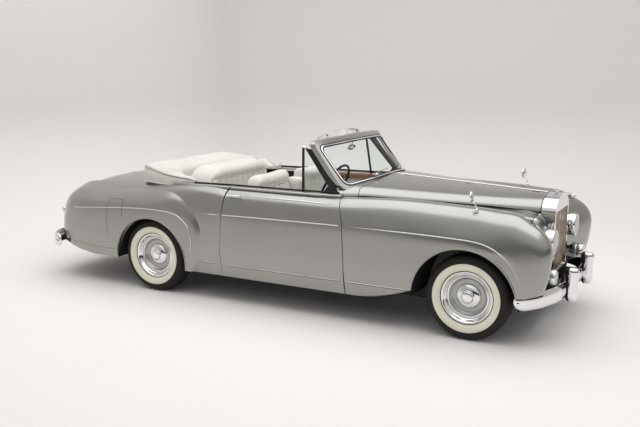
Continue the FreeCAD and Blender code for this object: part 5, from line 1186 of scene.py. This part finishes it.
def plates():
    """The doors' mouldings, seals and quarter-light rubbers, and the fuel flap's edge."""
    for side, sign in sides:
        door = f"door_{side}"
        panel_bead(f"door_moulding_{side}", door, door_moulding, sign, door, 0.0060, 0.002, 3, high=0.470,
                   material="bright_plate", taper=0.25)
        post = [spot(0.014, sign * 0.706, 1.070), spot(-0.018, sign * 0.644, 1.452)]
        bead(f"quarter_post_{side}", post, 0.0115, gasket, door)
        front_bar = [spot(0.318, sign * 0.7055, 1.072), spot(0.012, sign * 0.6455, 1.446)]
        bead(f"quarter_front_seal_{side}", front_bar, 0.0085, gasket, door)
        top_bar = [spot(0.012, sign * 0.6455, 1.453), spot(-0.020, sign * 0.6455, 1.458)]
        bead(f"quarter_top_rail_{side}", top_bar, 0.010, chrome, door)
        corners = [spot(0.322, sign * 0.7050, 1.070), spot(0.366, sign * 0.7030, 1.070),
                   spot(0.094, sign * 0.6400, 1.440), spot(0.014, sign * 0.6450, 1.446)]
        slab(f"quarter_front_filler_{side}", corners, 0.008, (0, -sign, 0), gasket, door, 0.002)
        slab(f"quarter_filler_{side}", [spot(0.205, sign * 0.710, 1.072), spot(0.368, sign * 0.710, 1.072),
                                        spot(0.330, sign * 0.700, 1.130), spot(0.262, sign * 0.694, 1.150)],
             0.010, (0, -sign, 0), gasket, door, 0.002)
        for name, points in waist_lines:
            line = smoothed([spot(x, sign * 0.713, z) for x, z in points], 8)
            bead(f"waist_seal_{name}_{side}", line, 0.0080, gasket, door if name == "door" else "car_body")
    places = [skin_point("rear_body", x, z, -1, 0.0) for x, z in straight(flap_edge, 16)]
    bead("fuel_flap_edge", [place for place in places if place is not None], 0.0015, gasket)


tail_rim = ((0.042, -0.045), (0.043, -0.006), (0.0415, 0.003), (0.038, 0.006), (0.0345, 0.003),
            (0.034, -0.045))
tail_lens = ((0.0345, 0.000), (0.0310, 0.0050), (0.0200, 0.0085), (0.0, 0.0100), (0.0, -0.004),
             (0.0345, -0.004))


def rear_fittings():
    """The tail lamps."""
    for side, sign in sides:
        place = spot(-2.880, sign * 0.68, 0.66)
        rim = turned(f"tail_lamp_rim_{side}", tail_rim, place, (-1, 0, 0), chrome, 48)
        turned(f"tail_lamp_lens_{side}", tail_lens, place, (-1, 0, 0), finishes["red_lens"], 48)
        if sign < 0:
            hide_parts("tail_lamps")


def wheel_houses():
    """Dark arched roofs over the wheels."""
    for side, sign in sides:
        for name, (x, z, radius), reach in (("front", front_arch, (0.43, 0.868)),
                                            ("rear", rear_arch, (0.56, 0.880))):
            shape = bmesh.new()
            start = Vector((x + wheelbase_middle + radius + 0.008, sign * reach[0], z - 0.02))
            points = [shape.verts.new(start), shape.verts.new((start.x, sign * reach[1], start.z))]
            edge = shape.edges.new(points)
            bmesh.ops.spin(shape, geom=points + [edge], cent=(x + wheelbase_middle, 0, z), axis=(0, -1, 0),
                           angle=math.radians(184), steps=48)
            bmesh.ops.recalc_face_normals(shape, faces=shape.faces)
            made = piece(f"wheel_house_{name}_{side}", shape, [underseal])
            wall = made.modifiers.new("wall", "SOLIDIFY")
            wall.thickness = 0.003
            wall.offset = 0


# The studio

camera_place = Vector((3.892, -6.925, 2.210))
camera_turn = math.radians(118.37)
camera_tilt = math.radians(-10.56)
lens = 46.4
corner_x, corner_y = -4.8, 5.6
cove = 1.6
room_height = 9.0
room_reach = 16.0
floor_drop = -0.001
wall_colour, floor_colour = (0.83, 0.81, 0.80), (0.77, 0.75, 0.742)
lamp_place, lamp_target = Vector((0.2, -0.1, 5.6)), Vector((0.2, 0.2, 0))
lamp_size, lamp_power = (10.0, 7.5), 290
sky_levels = ((0.0, 0.02), (0.12, 0.05), (0.36, 0.75), (1.0, 1.25))
sky_strength = 0.8


def studio_paint(name, colour):
    """Matt pale paint for the studio."""
    paint = Recipe(name)
    cloud = paint.noise(0.5, 2.0)
    dark = tuple(part * 0.985 for part in colour)
    behind = Amount(paint, paint.node("ShaderNodeNewGeometry", {}, {}).outputs["Backfacing"])
    return paint.finish(paint.mix(cloud, dark, colour), 0.9, Specular_IOR_Level=0.1, Alpha=1 - behind)


def studio_section():
    """Heights and distances from a wall, up a rounded foot."""
    steps = 14
    curve = [(cove - cove * math.sin(turn), cove - cove * math.cos(turn))
             for turn in (math.pi / 2 * step / steps for step in range(steps + 1))]
    return [(room_reach, 0.0)] + curve + [(0.0, room_height)]


def stage_piece(name, shape, material, height=0.0):
    """Makes a part of the studio."""
    mesh = bpy.data.meshes.new(name)
    shape.to_mesh(mesh)
    shape.free()
    made = bpy.data.objects.new(name, mesh)
    bpy.context.collection.objects.link(made)
    mesh.materials.append(material)
    made.location.z = height
    return made


def studio():
    """The pale floor and the two walls behind, joined by a rounded foot."""
    shape = bmesh.new()
    rows = []
    for inset, height in studio_section():
        x, y = corner_x + inset, corner_y - inset
        rows.append([shape.verts.new((x, -room_reach, height)), shape.verts.new((x, y, height)),
                     shape.verts.new((room_reach, y, height))])
    for row, above in zip(rows, rows[1:]):
        shape.faces.new((row[0], row[1], above[1], above[0]))
        shape.faces.new((row[1], row[2], above[2], above[1]))
    backdrop = stage_piece("studio_backdrop", shape, studio_paint("studio_paint", wall_colour))
    backdrop.data.shade_smooth()
    ground = bmesh.new()
    bmesh.ops.create_grid(ground, x_segments=1, y_segments=1, size=room_reach * 2)
    stage_piece("studio_floor", ground, studio_paint("floor_studio_paint", floor_colour), floor_drop)


def lights():
    """A broad ceiling lamp and a dim surround that is brighter overhead."""
    data = bpy.data.lights.new("ceiling_lamp", "AREA")
    data.shape = "RECTANGLE"
    data.size, data.size_y = lamp_size
    data.energy = lamp_power
    made = bpy.data.objects.new("ceiling_lamp", data)
    bpy.context.collection.objects.link(made)
    made.location = lamp_place
    made.rotation_euler = (lamp_target - lamp_place).to_track_quat("-Z", "Y").to_euler()
    sky = Recipe("studio_light", bpy.data.worlds, "Background", "Generated")
    stops = [(height, (level, level * 0.985, level * 0.965)) for height, level in sky_levels]
    ramp = sky.node("ShaderNodeValToRGB", {"stops": stops}, {0: sky.axes()[2]})
    sky.feed(sky.shader.inputs["Color"], ramp.outputs[0])
    sky.feed(sky.shader.inputs["Strength"], sky_strength)
    bpy.context.scene.world = sky.material


def camera():
    """The camera at the photograph's viewing angle."""
    data = bpy.data.cameras.new("camera")
    data.lens = lens
    data.sensor_width = 36
    made = bpy.data.objects.new("camera", data)
    bpy.context.collection.objects.link(made)
    made.location = camera_place
    flat = math.cos(camera_tilt)
    way = Vector((math.cos(camera_turn) * flat, math.sin(camera_turn) * flat, math.sin(camera_tilt)))
    made.rotation_euler = way.to_track_quat("-Z", "Y").to_euler()
    bpy.context.scene.camera = made


for make in (wheels, beads, seats, hood_cover, cabin_trim, screen_fittings, lamps, bumpers, plates,
             rear_fittings, wheel_houses, studio, lights, camera):
    make()
bpy.context.scene.view_settings.view_transform = "Standard"
